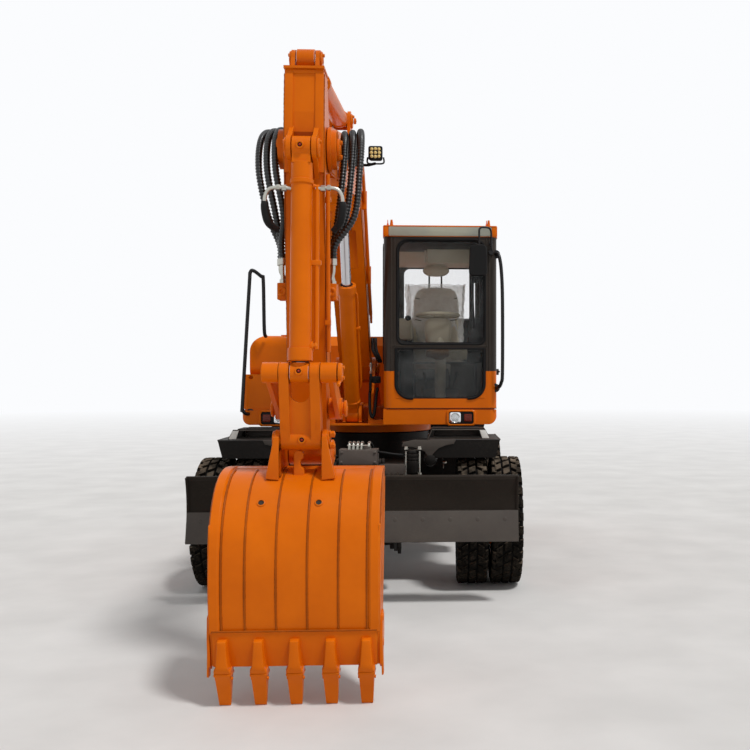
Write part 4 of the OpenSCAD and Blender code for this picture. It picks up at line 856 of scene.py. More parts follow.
def window_outline(low, high, top, bottom, steps=8):
    """A pane's outline, with its own corner radii above and below."""
    corners = [(high[0] - top, high[1] - top, top, 0), (low[0] + top, high[1] - top, top, 90),
               (low[0] + bottom, low[1] + bottom, bottom, 180),
               (high[0] - bottom, low[1] + bottom, bottom, 270)]
    return [(u + r * math.cos(math.radians(start + 90 * k / steps)),
             v + r * math.sin(math.radians(start + 90 * k / steps)))
            for u, v, r, start in corners for k in range(steps + 1)]


def window_seals():
    """Rubber sections round each pane, standing a little proud of the wall."""
    def seal(form, view, low, high, level, out, top=60, bottom=60):
        for depth, r, inset in ((0, 10, -8), (-out * 14, 7, 1)):
            outline = window_outline((low[0] + inset, low[1] + inset), (high[0] - inset, high[1] - inset),
                                     top, bottom)
            form.tube([view(u, v, level + depth) for u, v in outline], r, 10, loop=True)

    def corner(form, u, v, su, sv, radius):
        """Fills a window's corner in the front wall out to a larger radius."""
        arc = [(u + su * radius * (1 - math.cos(math.radians(90 * k / 10))),
                v + sv * radius * (1 - math.sin(math.radians(90 * k / 10)))) for k in range(11)]
        form.prism(front, [(u - su * 3, v - sv * 3), (u - su * 3, arc[0][1])] + arc
                   + [(arc[-1][0], v - sv * 3)], CAB_FRONT - 24, CAB_FRONT + 2)

    (x0, z0), (x1, z1) = FRONT_WINDOWS["lower"]
    sill = Form()
    corner(sill, x0, z0, 1, 1, LOWER_R)
    corner(sill, x1, z0, -1, 1, LOWER_R)
    sill.make("cab_lower_corners", ORANGE, "upper")
    head = Form()
    (x2, _), (x3, z3) = FRONT_WINDOWS["upper"]
    corner(head, x2, z3, 1, -1, UPPER_R)
    corner(head, x3, z3, -1, -1, UPPER_R)
    head.make("cab_upper_corners", CAB_BLACK, "upper")
    fixed = Form()
    seal(fixed, front, *FRONT_WINDOWS["upper"], CAB_FRONT, 1, UPPER_R, 55)
    # The lower pane's seal is thick at the sides and lower corners only
    reach = LOWER_R + 2
    for s, edge in ((1, x0), (-1, x1)):
        turn = [front(edge - s * 2 + s * reach * (1 - math.cos(math.radians(90 * k / 12))),
                      z0 + LOWER_R - reach * math.sin(math.radians(90 * k / 12)), CAB_FRONT)
                for k in range(13)]
        fixed.tube([front(edge - s * 2, z1 + 6, CAB_FRONT)] + turn
                   + [front(edge + s * 132, z0 - 2, CAB_FRONT)], 13)
    fixed.tube([front(x0 + 110, z0 - 1, CAB_FRONT - 3), front(x1 - 110, z0 - 1, CAB_FRONT - 3)], 5, 8)
    fixed.box((x0, CAB_FRONT - 8, z1 - 4), (x1, CAB_FRONT + 6, z1 + 10), 3)
    # Dark joint between the cab and its skirt
    fixed.box((CAB_X0 + 3, CAB_FRONT - 8, 1335), (CAB_X1 - 3, CAB_FRONT + 1.5, 1340), 1)
    seal(fixed, side, *SIDE_WINDOW, CAB_X0, -1)
    seal(fixed, front, *REAR_WINDOW, CAB_BACK, -1)
    fixed.make("window_seals", SEAL, "upper")
    moving = Form()
    seal(moving, side, *DOOR_WINDOW, CAB_X1, 1)
    # Lip seal round the door's edge
    (f0, z0), (f1, z1) = DOOR
    lip = rounded((f0 + 8, z0 + 8), (f1 - 8, z1 - 8), 20, 5)
    moving.tube([side(u, v, CAB_X1 - 50) for u, v in lip], 6, 8, loop=True)
    moving.make("door_seals", SEAL, "door")
    # The lower front pane is tinted by a second sheet behind it
    tint = Form()
    (x0, z0), (x1, z1) = FRONT_WINDOWS["lower"]
    tint.prism(front, window_outline((x0 + 4, z0 + 4), (x1 - 4, z1 - 4), 40, LOWER_R - 4),
               CAB_FRONT - 62, CAB_FRONT - 58)
    tint.make("lower_pane_tint", TINTED, "upper")


def cab_outside():
    """Ribs, roof panel, marker pins and wiper of the cab, and the fittings of its door."""
    # Drip channels and pressed grooves of the front pillars
    grooves = Form()
    for x in (CAB_X0 + 62, CAB_X0 + 88, CAB_X1 - 62, CAB_X1 - 84):
        grooves.box((x - 5, CAB_FRONT - 4, CAB_SPLIT_Z + 6), (x + 5, CAB_FRONT + 5, ROOF_Z0 - 4), 2)
    grooves.box((CAB_X0 + 70, CAB_FRONT - 4, 1822), (CAB_X1 - 70, CAB_FRONT + 5, 1836), 2)
    grooves.make("cab_pillar_ribs", CAB_BLACK, "upper")
    # Grey panel in the roof's front
    panel = Form()
    outline = rounded((CAB_X0 + 42, ROOF_Z0 + 4), (CAB_X1 - 42, ROOF_Z1 - 10), 10)
    panel.prism(front, outline, CAB_FRONT + 2, CAB_FRONT + 12, 3)
    panel.make("roof_front_panel", ROOF_GREY, "upper")
    rim = Form()
    rim.prism(front, rounded((CAB_X0 + 4, ROOF_Z1 - 12), (CAB_X1 - 4, ROOF_Z1 - 1), 5),
              CAB_FRONT - 30, CAB_FRONT + 13, 3)
    for x0, x1 in ((CAB_X0 - 2, CAB_X0 + 42), (CAB_X1 - 42, CAB_X1 + 2)):
        rim.prism(front, rounded((x0, ROOF_Z0 + 2), (x1, ROOF_Z1 - 2), 10), CAB_FRONT - 20, CAB_FRONT + 11, 5)
    rim.make("roof_front_rim", ORANGE, "upper")
    # Pressed ribs across the roof
    ribs = Form()
    for k in range(4):
        x = CAB_X0 + 170 + k * 185
        ribs.prism(plan, rounded((x - 30, CAB_BACK + 130), (x + 30, CAB_FRONT - 190), 28),
                   ROOF_Z1 - 2, ROOF_Z1 + 7, 4)
    ribs.make("roof_ribs", ORANGE, "upper")
    # Marker pins on the roof's front corners
    pins = Form()
    for x in (CAB_X0 + 30, CAB_X1 - 77):
        pins.turned(at(x, CAB_FRONT - 110, ROOF_Z1), (0, 0, 1),
                    [(-4, 13), (6, 12), (10, 9), (28, 7), (30, 4), (56, 3), (60, 1)], 20)
    pins.make("roof_marker_pins", BEACON, "upper")
    # Wiper on the front pane
    wiper = Form()
    wiper.rod(at(867, CAB_FRONT, 1980), at(867, CAB_FRONT + 34, 1980), 15)
    wiper.curve([(867, CAB_FRONT + 30, 1980), (862, CAB_FRONT + 34, 2070), (854, CAB_FRONT + 24, 2240),
                 (849, CAB_FRONT + 14, 2366)], 4, 7, 8)
    wiper.prism(front, [(860, 2020), (866, 2020), (854, 2376), (846, 2374)], CAB_FRONT + 4, CAB_FRONT + 16, 2)
    wiper.make("front_wiper", RAIL, "upper")
    # Screws of the door's hinges, handle in its recess, and creases along the panel
    for name, body, places in (("frame", "upper", (-300, -282)), ("leaf", "door", (-226, -208))):
        screws = Form()
        for z in HINGE_Z:
            for k, f in enumerate(places):
                for dz in (-42, 42):
                    spot = at(CAB_X1 + 10, f, z + dz * (0.6 if k else 1))
                    screws.bolt(spot, (1, 0, 0), 12, 5, washer=False)
        screws.make(f"door_hinge_screws_{name}", ZINC, body)
    catch = Form()
    catch.prism(side, rounded((676, 1585), (806, 1672), 24), CAB_X1 - 1, CAB_X1 + 4, 2)
    grip = ((5, 786), (27, 776), (31, 745), (27, 714), (5, 704))
    catch.curve([(CAB_X1 + out, f, HANDLE_Z) for out, f in grip], 4, 9, 10)
    catch.make("door_handle", PLASTIC, "door")
    crease = Form()
    for z in (1400, 1660):
        crease.box((CAB_X1 - 1, -215, z), (CAB_X1 + 5, 795, z + 10), 2)
    crease.make("door_creases", CAB_BLACK, "door")


def headlamp_units():
    """Two front lamp units, each a round lamp and a dark red indicator in a black housing."""
    bezel, housing, bowl, lens, signal = Form(), Form(), Form(), Form(), Form()
    f, z = CAB_FRONT, HEADLAMP_Z
    for x, s in HEADLAMPS:
        outer = rounded((x - 116, z - 64), (x + 116, z + 63), 26)
        brow = rounded((x - 108, z - 57), (x + 108, z + 56), 22)
        inner = rounded((x - 98, z - 50), (x + 98, z + 49), 18)
        rings = [[front(u, v, f + w) for u, v in path] for path, w in
                 ((outer, -7), (outer, 10), (brow, 16), (inner, 15), (inner, 1), (inner, -7))]
        bezel.skin(rings, caps=False, loop=True)
        housing.prism(front, inner, f - 45, f + 3, 2)
        lamp_x = x - s * 47
        bowl.prism(front, rounded((lamp_x - 44, z - 44), (lamp_x + 44, z + 43), 16), f, f + 7, 3)
        bowl.turned(at(lamp_x, f + 6, z), (0, -1, 0), [(0, 30), (5, 33), (7, 36), (7, 38), (0, 39)], 32)
        lens.turned(at(lamp_x, f + 9, z), (0, -1, 0), [(0, 34), (4, 32), (8, 22), (9.6, 8), (10, 1)], 32)
        signal_x = x + s * 54
        signal.prism(front, rounded((signal_x - 30, z - 30), (signal_x + 30, z + 29), 8), f + 2, f + 9, 4)
        for k in range(4):
            low = z - 22 + 14 * k
            signal.box((signal_x - 26, f + 8, low), (signal_x + 26, f + 11, low + 4), 1)
    bezel.make("headlamp_bezels", ORANGE, "upper")
    housing.make("headlamp_housings", PLASTIC, "upper", ["headlamps"])
    bowl.make("headlamp_reflectors", REFLECTOR, "upper")
    lens.make("headlamp_lenses", LENS, "upper")
    signal.make("headlamp_indicators", INDICATOR, "upper")


def mirror():
    """The mirror's shell and glass, on its bent bracket."""
    shell = Form()
    rings = []
    for w, grow in ((1050, -26), (1056, -10), (1070, 0), (1098, 0), (1106, -6)):
        outline = rounded((822 - grow, 2374 - grow), (966 + grow, 2618 + grow), max(12, 34 + grow))
        rings.append([front(894 + (u - 894) * (1 - 0.08 * (v - 2374) / 244), v, w) for u, v in outline])
    shell.skin(rings)
    shell.make("mirror_shell", PLASTIC, "upper", ["side_mirror"])
    arm = Form()
    arm.curve([(903, 1080, 2600), (903, 1080, 2715), (907, 1076, 2744), (930, 1070, 2757),
               (980, 1060, 2753), (998, 1045, 2724), (1000, 1034, 2660), (998, 1002, 2640)], 5, 8)
    arm.rod(at(998, 990, 2640), at(998, 1030, 2640), 17)
    arm.curve([(1000, 1034, 2660), (1002, 1034, 2600), (1000, 1020, 2566)], 4, 8, 12)
    arm.rod(at(1000, 990, 2566), at(1000, 1034, 2566), 20)
    arm.make("mirror_bracket", RAIL, "upper")
    glass = Form()
    glass.prism(front, rounded((840, 2386), (948, 2606), 30), 1044, 1051, 1)
    glass.make("mirror_glass", REFLECTOR, "upper")


def handrails():
    """Bent rails with their feet, over the plain ones of the source."""
    rails = Form()
    left = [(-884, 960, 1300), (-908, 1030, 1298), (-930, 1052, 1330), (-930, 1055, 1400),
            (-879, 1055, 2290), (-872, 1052, 2392), (-850, 1045, 2410), (-795, 1010, 2368),
            (-781, 1000, 2340), (-780, 960, 1960), (-778, 900, 1905)]
    right = [(1032, 940, 2560), (1048, 1010, 2556), (1062, 1050, 2530), (1078, 1058, 2420),
             (1087, 1060, 2181), (1087, 1060, 1640), (1078, 1050, 1540), (1056, 1010, 1500),
             (1032, 950, 1496)]
    for points in (left, right):
        rails.curve(points, 6, 14, 14)
    for x, f, z in RAIL_FEET:
        rails.turned(at(x, f - 6, z), (0, -1, 0), [(0, 34), (8, 34), (10, 30), (10, 14)], 28)
    rails.make("handrails", RAIL, "upper", ["rails"])
    bolts = Form()
    for x, f, z in RAIL_FEET:
        for s in (-1, 1):
            bolts.bolt(at(x + s * 24, f + 3, z), (0, -1, 0), 12, 7)
    bolts.make("handrail_bolts", ZINC, "upper")


def backrest_line(t):
    """Height, distance ahead and half depth of the backrest, at a fraction of its height."""
    return 1650 + 750 * t, -110 - 150 * t, 62 - 16 * t


def seat():
    """Suspension seat in woven polyester, with its clear shipping cover still on."""
    cushion = Form()
    rings = []
    for z, grow in ((1600, -22), (1618, 0), (1660, 6), (1700, 0), (1722, -22), (1730, -60)):
        outline = rounded((SEAT_X - 232 - grow, -120 - grow), (SEAT_X + 232 + grow, 400 + grow), 90, 8)
        rings.append([plan(u, v, z + 14 * math.cos((u - SEAT_X) / 150)) for u, v in outline])
    cushion.skin(rings)
    base = cushion.make("seat_cushion", CLOTH, "upper", ["seat"])
    back = Form()
    rings = []
    for k in range(13):
        t = k / 12
        z, f, depth = backrest_line(t)
        width = 212 - 8 * t - 52 * max(0, t - 0.82) ** 1.6 / 0.18 ** 1.6
        ring = []
        for j in range(28):
            a = math.tau * j / 28
            u = squarish(math.cos(a), 0.55)
            v = squarish(math.sin(a), 0.75)
            wing = 26 * abs(u) ** 3 if v > 0 else 0
            ring.append(at(SEAT_X - 33 + width * u, f + depth * v + wing, z))
        rings.append(ring)
    back.skin(rings)
    rest = back.make("seat_backrest", CLOTH, "upper")
    head = Form()
    rings = []
    for k in range(7):
        t = k / 6
        swell = math.sin(math.pi * (0.08 + 0.84 * t)) ** 0.5
        rings.append([at(SEAT_X - 34 + 124 * swell * squarish(math.cos(a), 0.6),
                         -285 + 48 * swell * math.sin(a), 2500 + 110 * t)
                      for a in (math.tau * j / 24 for j in range(24))])
    head.skin(rings)
    pillow = head.make("seat_headrest", CLOTH, "upper")
    for pad in (base, rest, pillow):
        levels = pad.modifiers.new("round", "SUBSURF")
        levels.levels = levels.render_levels = 1
    posts = Form()
    for s in (-1, 1):
        posts.rod(at(SEAT_X - 40 + s * 56, -262, 2370), at(SEAT_X - 40 + s * 56, -286, 2530), 8)
        # Armrests on the consoles
        posts.prism(side, rounded((-120, 1880), (230, 1925), 20),
                    SEAT_X + s * CONSOLE_X - 42, SEAT_X + s * CONSOLE_X + 42, 14, 3)
    posts.make("seat_armrests", PLASTIC, "upper")
    piping = Form()
    for t in (0.28, 0.6, 0.86):
        z, f, depth = backrest_line(t)
        path = [at(SEAT_X - 33 + u * 190, f + depth + 22 * abs(u) ** 3 + 4, z - 18 * (1 - u * u))
                for u in (-1, -0.6, -0.2, 0.2, 0.6, 1)]
        piping.tube(smooth_path(path, 4), 5, 8)
    piping.make("seat_seams", TRIM, "upper")
    # Clear cover, pulled over the backrest and gathered below
    film = Form()
    random.seed(5)
    rings = []
    steps = 72
    for k in range(41):
        t = k / 40
        z = 1600 + 822 * t
        # A square bag: wide at its top corners, drawn in below, and nearly closed over the backrest
        half = 236 + 30 * t ** 2
        depth = 120 * (1 - 0.35 * t) * min(1, (1.04 - t) / 0.16)
        ring = []
        for j in range(steps):
            a = math.tau * j / steps
            crease = (1 + 0.03 * math.sin(7 * a + 5 * t) + 0.028 * math.sin(13 * a - 23 * t)
                      + 0.02 * math.sin(29 * a + 41 * t) + 0.016 * random.random())
            ring.append(at(SEAT_X - 40 + half * crease * squarish(math.cos(a), 0.4),
                           -170 - 96 * t + depth * crease * squarish(math.sin(a), 0.7),
                           z + 10 * math.sin(5 * a) * t))
        rings.append(ring)
    film.skin(rings, caps=False)
    cover = film.make("seat_shipping_cover", FILM, "upper", angle=80)


def controls():
    """Steering column, wheel, levers with bellows, pedals and the display."""
    column = Form()
    column.curve([(SEAT_X, 820, CAB_FLOOR), (SEAT_X, 790, 1500), (SEAT_X, 735, 1760), (SEAT_X, 660, 1990)],
                 5, [60, 58, 55, 50, 48, 46, 46, 46, 46, 46, 44, 42, 40, 40, 38, 38], 20)
    rings = []
    for z, half, depth in ((1850, 88, 54), (1880, 104, 66), (1960, 112, 72), (2030, 110, 70), (2056, 92, 56),
                           (2070, 50, 40)):
        rings.append([plan(SEAT_X - 16 + half * squarish(math.cos(a), 0.55),
                           668 - 0.1 * (z - 1850) + depth * squarish(math.sin(a), 0.7), z)
                      for a in (math.tau * k / 32 for k in range(32))])
    column.skin(rings)
    wheel_centre = at(SEAT_X - 20, 620, 2094)
    axis = Vector((0, math.sin(math.radians(2)), math.cos(math.radians(2))))
    u, v = Vector((1, 0, 0)), Vector((0, axis.z, -axis.y))
    ring = [wheel_centre + 172 * (math.cos(a) * u + math.sin(a) * v)
            for a in (math.tau * k / 48 for k in range(48))]
    column.tube(ring, 14, 12, loop=True)
    for a in (90, 210, 330):
        a = math.radians(a)
        spoke = math.cos(a) * u + math.sin(a) * v
        column.tube([wheel_centre - axis * 14, wheel_centre + spoke * 90 - axis * 6,
                     wheel_centre + spoke * 178], 11, 10)
    column.turned(wheel_centre - axis * 22, axis, [(0, 30), (6, 44), (26, 46), (34, 38), (36, 10)], 28)
    column.make("steering_wheel", PALE_TRIM, "upper", ["controls"])
    levers = Form()
    for s in (-1, 1):
        base = at(SEAT_X + s * CONSOLE_X, 330, 1828)
        levers.turned(base, (0, 0, 1), [(0, 58), (8, 58), (12, 46), (18, 52), (24, 42), (30, 46), (36, 34),
                                        (42, 38), (50, 18)], 28)
        top = base + Vector((-s * 14, -40, 165))
        levers.tube(smooth_path([base, base + Vector((0, -14, 90)), top], 5), 9, 10)
        levers.tube(smooth_path([top, top + Vector((0, -8, 40)), top + Vector((0, -26, 92)),
                                 top + Vector((0, -30, 112))], 4),
                    [18, 21, 22, 21, 20, 21, 23, 25, 26, 25, 22, 15, 8], 16)
    for s in (-1, 1):
        x = SEAT_X + s * 95
        levers.prism(side, [(840, 1385), (900, 1500), (912, 1494), (858, 1378)], x - 55, x + 55, 4)
        levers.tube([at(x, 858, 1410), at(x + s * 20, 800, 1560), at(x + s * 40, 760, 1620)], 9, 8)
    levers.make("control_levers", PLASTIC, "upper")
    lining = Form()
    # Right-hand pod with switches, its display, and the heater box behind the seat
    lining.prism(side, [(150, 1820), (560, 1880), (600, 1960), (580, 1990), (140, 1900)], 905, 978, 14, 3)
    lining.prism(side, [(-456, CAB_FLOOR), (-456, 2130), (-390, 2110), (-350, 1760), (-330, CAB_FLOOR)],
                 230, 970, 12, 3)
    # Headliner with its ventilation box and the sun visor
    lining.prism(side, [(-440, 2640), (-440, 2688), (930, 2688), (930, 2650), (500, 2628)], 215, 985, 8)
    lining.box((215, -450, CAB_FLOOR), (985, 940, CAB_FLOOR + 10), 3)
    for k in range(9):
        x = 300 + k * 75
        lining.box((x, 480, CAB_FLOOR + 9), (x + 34, 900, CAB_FLOOR + 15), 2)
    # Dark pod beside the front pane, with its slot, and frames behind the lower pane
    for low, high in (((842, 1850), (880, 2660)), ((928, 1850), (962, 2660)), ((872, 1850), (936, 2072)),
                      ((872, 2366), (936, 2660))):
        lining.prism(front, rounded(low, high, 8), 560, 604, 4)
    for low, high in (((300, 1440), (316, 1700)), ((596, 1440), (616, 1700)), ((880, 1440), (900, 1700)),
                      ((300, 1690), (900, 1706)), ((300, 1560), (600, 1574))):
        lining.prism(front, rounded(low, high, 5), 700, 720, 3)
    lining.make("cab_lining", DARK_TRIM, "upper")
    slate = Form()
    for low, high in (((403, 1425), (671, 1653)), ((683, 1425), (946, 1704))):
        slate.prism(front, rounded(low, high, 8), 690, 699, 3)
    slate.make("cab_front_panels", TRIM, "upper")
    visor = Form()
    visor.prism(front, rounded((492, 2524), (850, 2686), 16), 566, 640, 12, 3)
    visor.prism(front, rounded((470, 2530), (486, 2686), 6), 580, 600, 3)
    visor.prism(side, [(-440, 2640), (-440, 2600), (-380, 2596), (500, 2618), (540, 2640)], 225, 980, 8)
    visor.prism(side, [(-130, 1890), (420, 1900), (440, 2010), (400, 2080), (-100, 2070)], 246, 356, 16, 3)
    visor.make("cab_console_covers", PALE_TRIM, "upper")
    kit = Form()
    for k in range(4):
        kit.rod(at(925, 220 + k * 70, 1852 + k * 10), at(925, 220 + k * 70, 1875 + k * 10), 13)
    kit.prism(front, rounded((846, 1880), (956, 2040), 8), 604, 612, 2)
    kit.make("cab_switches", RAIL, "upper")
    pouch, card = Form(), Form()
    # Brown pouch and a folded cloth left on the sill behind the lower pane
    rings = []
    random.seed(11)
    for k in range(15):
        t = k / 14
        swell = math.sin(math.pi * (0.06 + 0.88 * t)) ** 0.4
        rings.append([at(487 + 186 * t, 880 + 34 * swell * math.cos(a) * (1 + 0.1 * random.random()),
                         1770 + 44 * swell * math.sin(a) * (1 + 0.12 * random.random()) + 6 * math.sin(9 * t))
                      for a in (math.tau * j / 16 for j in range(16))])
    pouch.skin(rings)
    pouch.make("cab_pouch", LEATHER, "upper", angle=80)
    card.prism(front, [(688, 1722), (812, 1722), (818, 1800), (770, 1818), (694, 1806)], 872, 900, 6, 3)
    card.make("cab_sill_cloth", PALE_TRIM, "upper", slot="seat_cloth")


# ---- Boom, arm and their hydraulics ----

FOOT = (320, 1640)
PIVOT = (3520, 2800)
BOOM_CYL_FOOT = (720, 1280)
BOOM_CYL_EYE = (1550, 2780)
ARM_CYL_FOOT = (1750, 3400)
ARM_CYL_EYE = (3620, 3245)
BUCKET_CYL_TOP = (3790, 2750)
BLADE_ROD_EYE = (1735, 552)
# Profile of the stepped cap on a cylinder's lug, as height and radius
LUG_CAP = [(0, 50), (8, 50), (11, 46), (11, 20), (15, 16)]
# Axis of the blade's curve
BLADE_CURVE = (2518, 677.5)
BLADE_HALF = 1131
ARM_HALF = 101
BOOM_HALF = 126
HOSE_R = 15
HOSE_RIB = 3.6
# Lower ends of the hoses beside the arm, as x and distance ahead, by side
HOSE_ENDS = {-1: [(-256, 3536), (-246, 3566), (-238, 3596)], 1: [(4, 3510), (14, 3540), (24, 3570)]}


def between(p, q, distance):
    """A side point on the line from p to q."""
    length = math.hypot(q[0] - p[0], q[1] - p[1])
    return (p[0] + (q[0] - p[0]) * distance / length, p[1] + (q[1] - p[1]) * distance / length)


def grease_points():
    """Grease nipples in their bosses, each with a red dust cap."""
    for name, x, f, z, axis, body in (
            ("link", 0, LINK_TOP[0] + 50, LINK_TOP[1] + 8, (0, -1, 0.1), "bucket_rod"),
            ("link_low", 6, LINK_FOOT[0] + 50, LINK_FOOT[1] + 4, (0, -1, 0), "link"),
            ("cylinder", -4, BUCKET_CYL_TOP[0] + 58, BUCKET_CYL_TOP[1] + 2, (0, -1, 0), "bucket_barrel"),
            ("foot", 100, ARM_CYL_FOOT[0], ARM_CYL_FOOT[1] + 2, (1, 0, 0), "boom")):
        point = at(BOOM_X + x, f, z)
        axis = Vector(axis).normalized()
        boss, hole, cap = Form(), Form(), Form()
        boss.turned(point, axis, [(-6, 21), (6, 21), (10, 18), (10, 12), (3, 11)], 28)
        hole.turned(point + axis * 2.5, axis, [(0, 11), (2, 11), (2.5, 9)], 20)
        cap.turned(point + axis * 4, axis, [(0, 6), (6, 6), (8, 4), (9, 1)], 16)
        boss.make(f"grease_boss_{name}", ORANGE, body)
        hole.make(f"grease_pocket_{name}", SEAL, body)
        cap.make(f"grease_cap_{name}", CAP_RED, body)


def pin_caps(name, body, rows):
    """Stepped caps on both ends of pins: reach, pin, profile, steps, and bolts by reach, offset and size."""
    caps = Form()
    for s in (-1, 1):
        for reach, (f, z), profile, steps, bolts in rows:
            caps.turned(at(BOOM_X + s * reach, f, z), (s, 0, 0), profile, steps)
            for bolt_reach, df, dz, across, height in bolts:
                caps.bolt(at(BOOM_X + s * bolt_reach, f + df, z + dz), (s, 0, 0), across, height)
    caps.make(name, ORANGE, body)


def cylinder_details():
    """Collars, gland bolts and steel pipes of the cylinders."""
    def on_line(p, q, distance, x):
        f, z = between(p, q, distance)
        return at(x, f, z)

    for name, p, q, r, length, grow, bolts, rod_r, eye_r, neck in (
            ("boom", BOOM_CYL_FOOT, BOOM_CYL_EYE, 62, 1143, 6, 8, 36, 62, 34),
            ("arm", ARM_CYL_FOOT, ARM_CYL_EYE, 58, 1310, 4, 8, 34, 55, 34),
            ("bucket", BUCKET_CYL_TOP, LINK_TOP, 54, 1082, 1, 0, 32, 50, 0)):
        collar = Form()
        axis = on_line(p, q, 10, BOOM_X) - on_line(p, q, 0, BOOM_X)
        start = on_line(p, q, length, BOOM_X)
        top = -64 if bolts else -26
        collar.turned(start, axis, [
            (top, r), (top + 2, r + grow), (-6, r + grow), (0, r + grow - 3), (4, r - 10), (4, r - 18)], 48)
        ring = 118 if bolts else 165
        collar.turned(on_line(p, q, ring, BOOM_X), axis, [
            (0, r), (3, r + 6), (ring / 7, r + 6), (ring / 6, r)], 48)
        for k in range(bolts):
            a = math.tau * k / 8 + 0.2
            u = Vector((1, 0, 0))
            v = axis.normalized().cross(u)
            collar.bolt(start + (r - 8) * (math.cos(a) * u + math.sin(a) * v), axis, 14, 8, washer=False)
        collar.make(f"{name}_cylinder_collar", ORANGE, f"{name}_barrel")
        wiper = Form()
        wiper.turned(start, axis, [(3, rod_r + 11), (8, rod_r + 10), (9, rod_r + 1.5), (2, rod_r + 1.5)], 40,
                     hollow=True)
        wiper.make(f"{name}_rod_wiper", SEAL, f"{name}_barrel")
        # Painted eye and neck of the chromed rod
        eye = Form()
        ring = [(0, 34), (0, eye_r - 2), (3, eye_r + 1), (91.4, eye_r + 1), (94.4, eye_r - 2), (94.4, 34)]
        eye.turned(at(BOOM_X - 47.2, *q), (1, 0, 0), ring, 48, hollow=True)
        profile = [(28, 42), (48.5, 42), (49.5, 40)]
        if neck:
            profile = [(eye_r - 12, rod_r + 12), (eye_r + 8, rod_r + 12), (eye_r + neck, rod_r + 9),
                       (eye_r + neck + 5, rod_r + 3)]
        eye.turned(at(BOOM_X, *q), -axis, profile, 36)
        eye.make(f"{name}_rod_eye", ORANGE, f"{name}_rod")
    lugs = Form()
    ring = [(0, 17), (0, 29), (2, 31), (51, 31), (53.2, 29), (53.2, 17)]
    for x in (-130, 130):
        lugs.turned(at(x - 26.6, *BLADE_ROD_EYE), (1, 0, 0), ring, 32, hollow=True)
    lugs.make("blade_rod_eyes", BLACK, "blade_rods")

    # Bucket cylinder: steel elbows at its upper end, each to a cuffed hose, and the long feed pipe
    elbows, cuffs, pipe = Form(), Form(), Form()
    z0 = 2540
    for s in (-1, 1):
        x0 = BOOM_X + s * 50 + (20 if s > 0 else 0)
        elbows.curve([(x0, 3806, z0), (x0 + s * 60, 3812, z0 + 4), (x0 + s * 110, 3812, z0 - 4),
                      (x0 + s * 132, 3810, z0 - 40), (x0 + s * 134, 3808, z0 - 80)], 5, 10, 14)
        elbows.turned(at(x0 + s * 26, 3808, z0 + 1), (s, 0, 0), [(0, 17), (22, 17), (24, 14)], 6)
        elbows.turned(at(x0 + s * 58, 3811, z0 + 4), (s, 0, 0), [(0, 15), (16, 15), (18, 13)], 6)
        cuffs.curve([(x0 + s * 134, 3808, z0 - 66), (x0 + s * 134, 3806, z0 - 110),
                     (x0 + s * 120, 3790, z0 - 170), (x0 + s * 84, 3740, z0 - 200)], 5,
                    [17, 19, 20, 20, 20, 20, 20, 20, 20, 20, 19, 19, 18, 17, 16, 16], 14)
    elbows.make("bucket_cylinder_elbows", ZINC, "bucket_barrel")
    cuffs.make("bucket_cylinder_cuffs", RUBBER, "bucket_barrel")
    x = BOOM_X + 78
    pipe.curve([(x - 24, 3800, 2556), (x, 3800, 2540), (x, 3812, 2480), (x, 3846, 1790), (x - 4, 3852, 1752),
                (x - 26, 3856, 1740)], 6, 12, 14)
    pipe.box((BOOM_X + 40, 3800, 2150), (x + 22, 3842, 2176), 4)
    pipe.turned(at(x - 14, 3854, 1742), (-1, 0, 0), [(0, 26), (14, 26), (16, 22)], 28)
    pipe.make("bucket_cylinder_pipe", ORANGE, "bucket_barrel")

    # Boom cylinder: feed pipe down its right side, with a clamp
    supply = Form()
    x = BOOM_X + 74
    line = ((1080, -26), (1060, 0), (900, 0), (620, 0), (300, 4), (240, -20))
    supply.tube(smooth_path([on_line(BOOM_CYL_FOOT, BOOM_CYL_EYE, d, x + off) for d, off in line], 6), 9)
    clamp = on_line(BOOM_CYL_FOOT, BOOM_CYL_EYE, 780, x)
    supply.turned(clamp + Vector((-16, 0, 0)), (1, 0, 0), [(0, 16), (30, 16), (32, 12)], 20)
    supply.make("boom_cylinder_pipe", ORANGE, "boom_barrel")


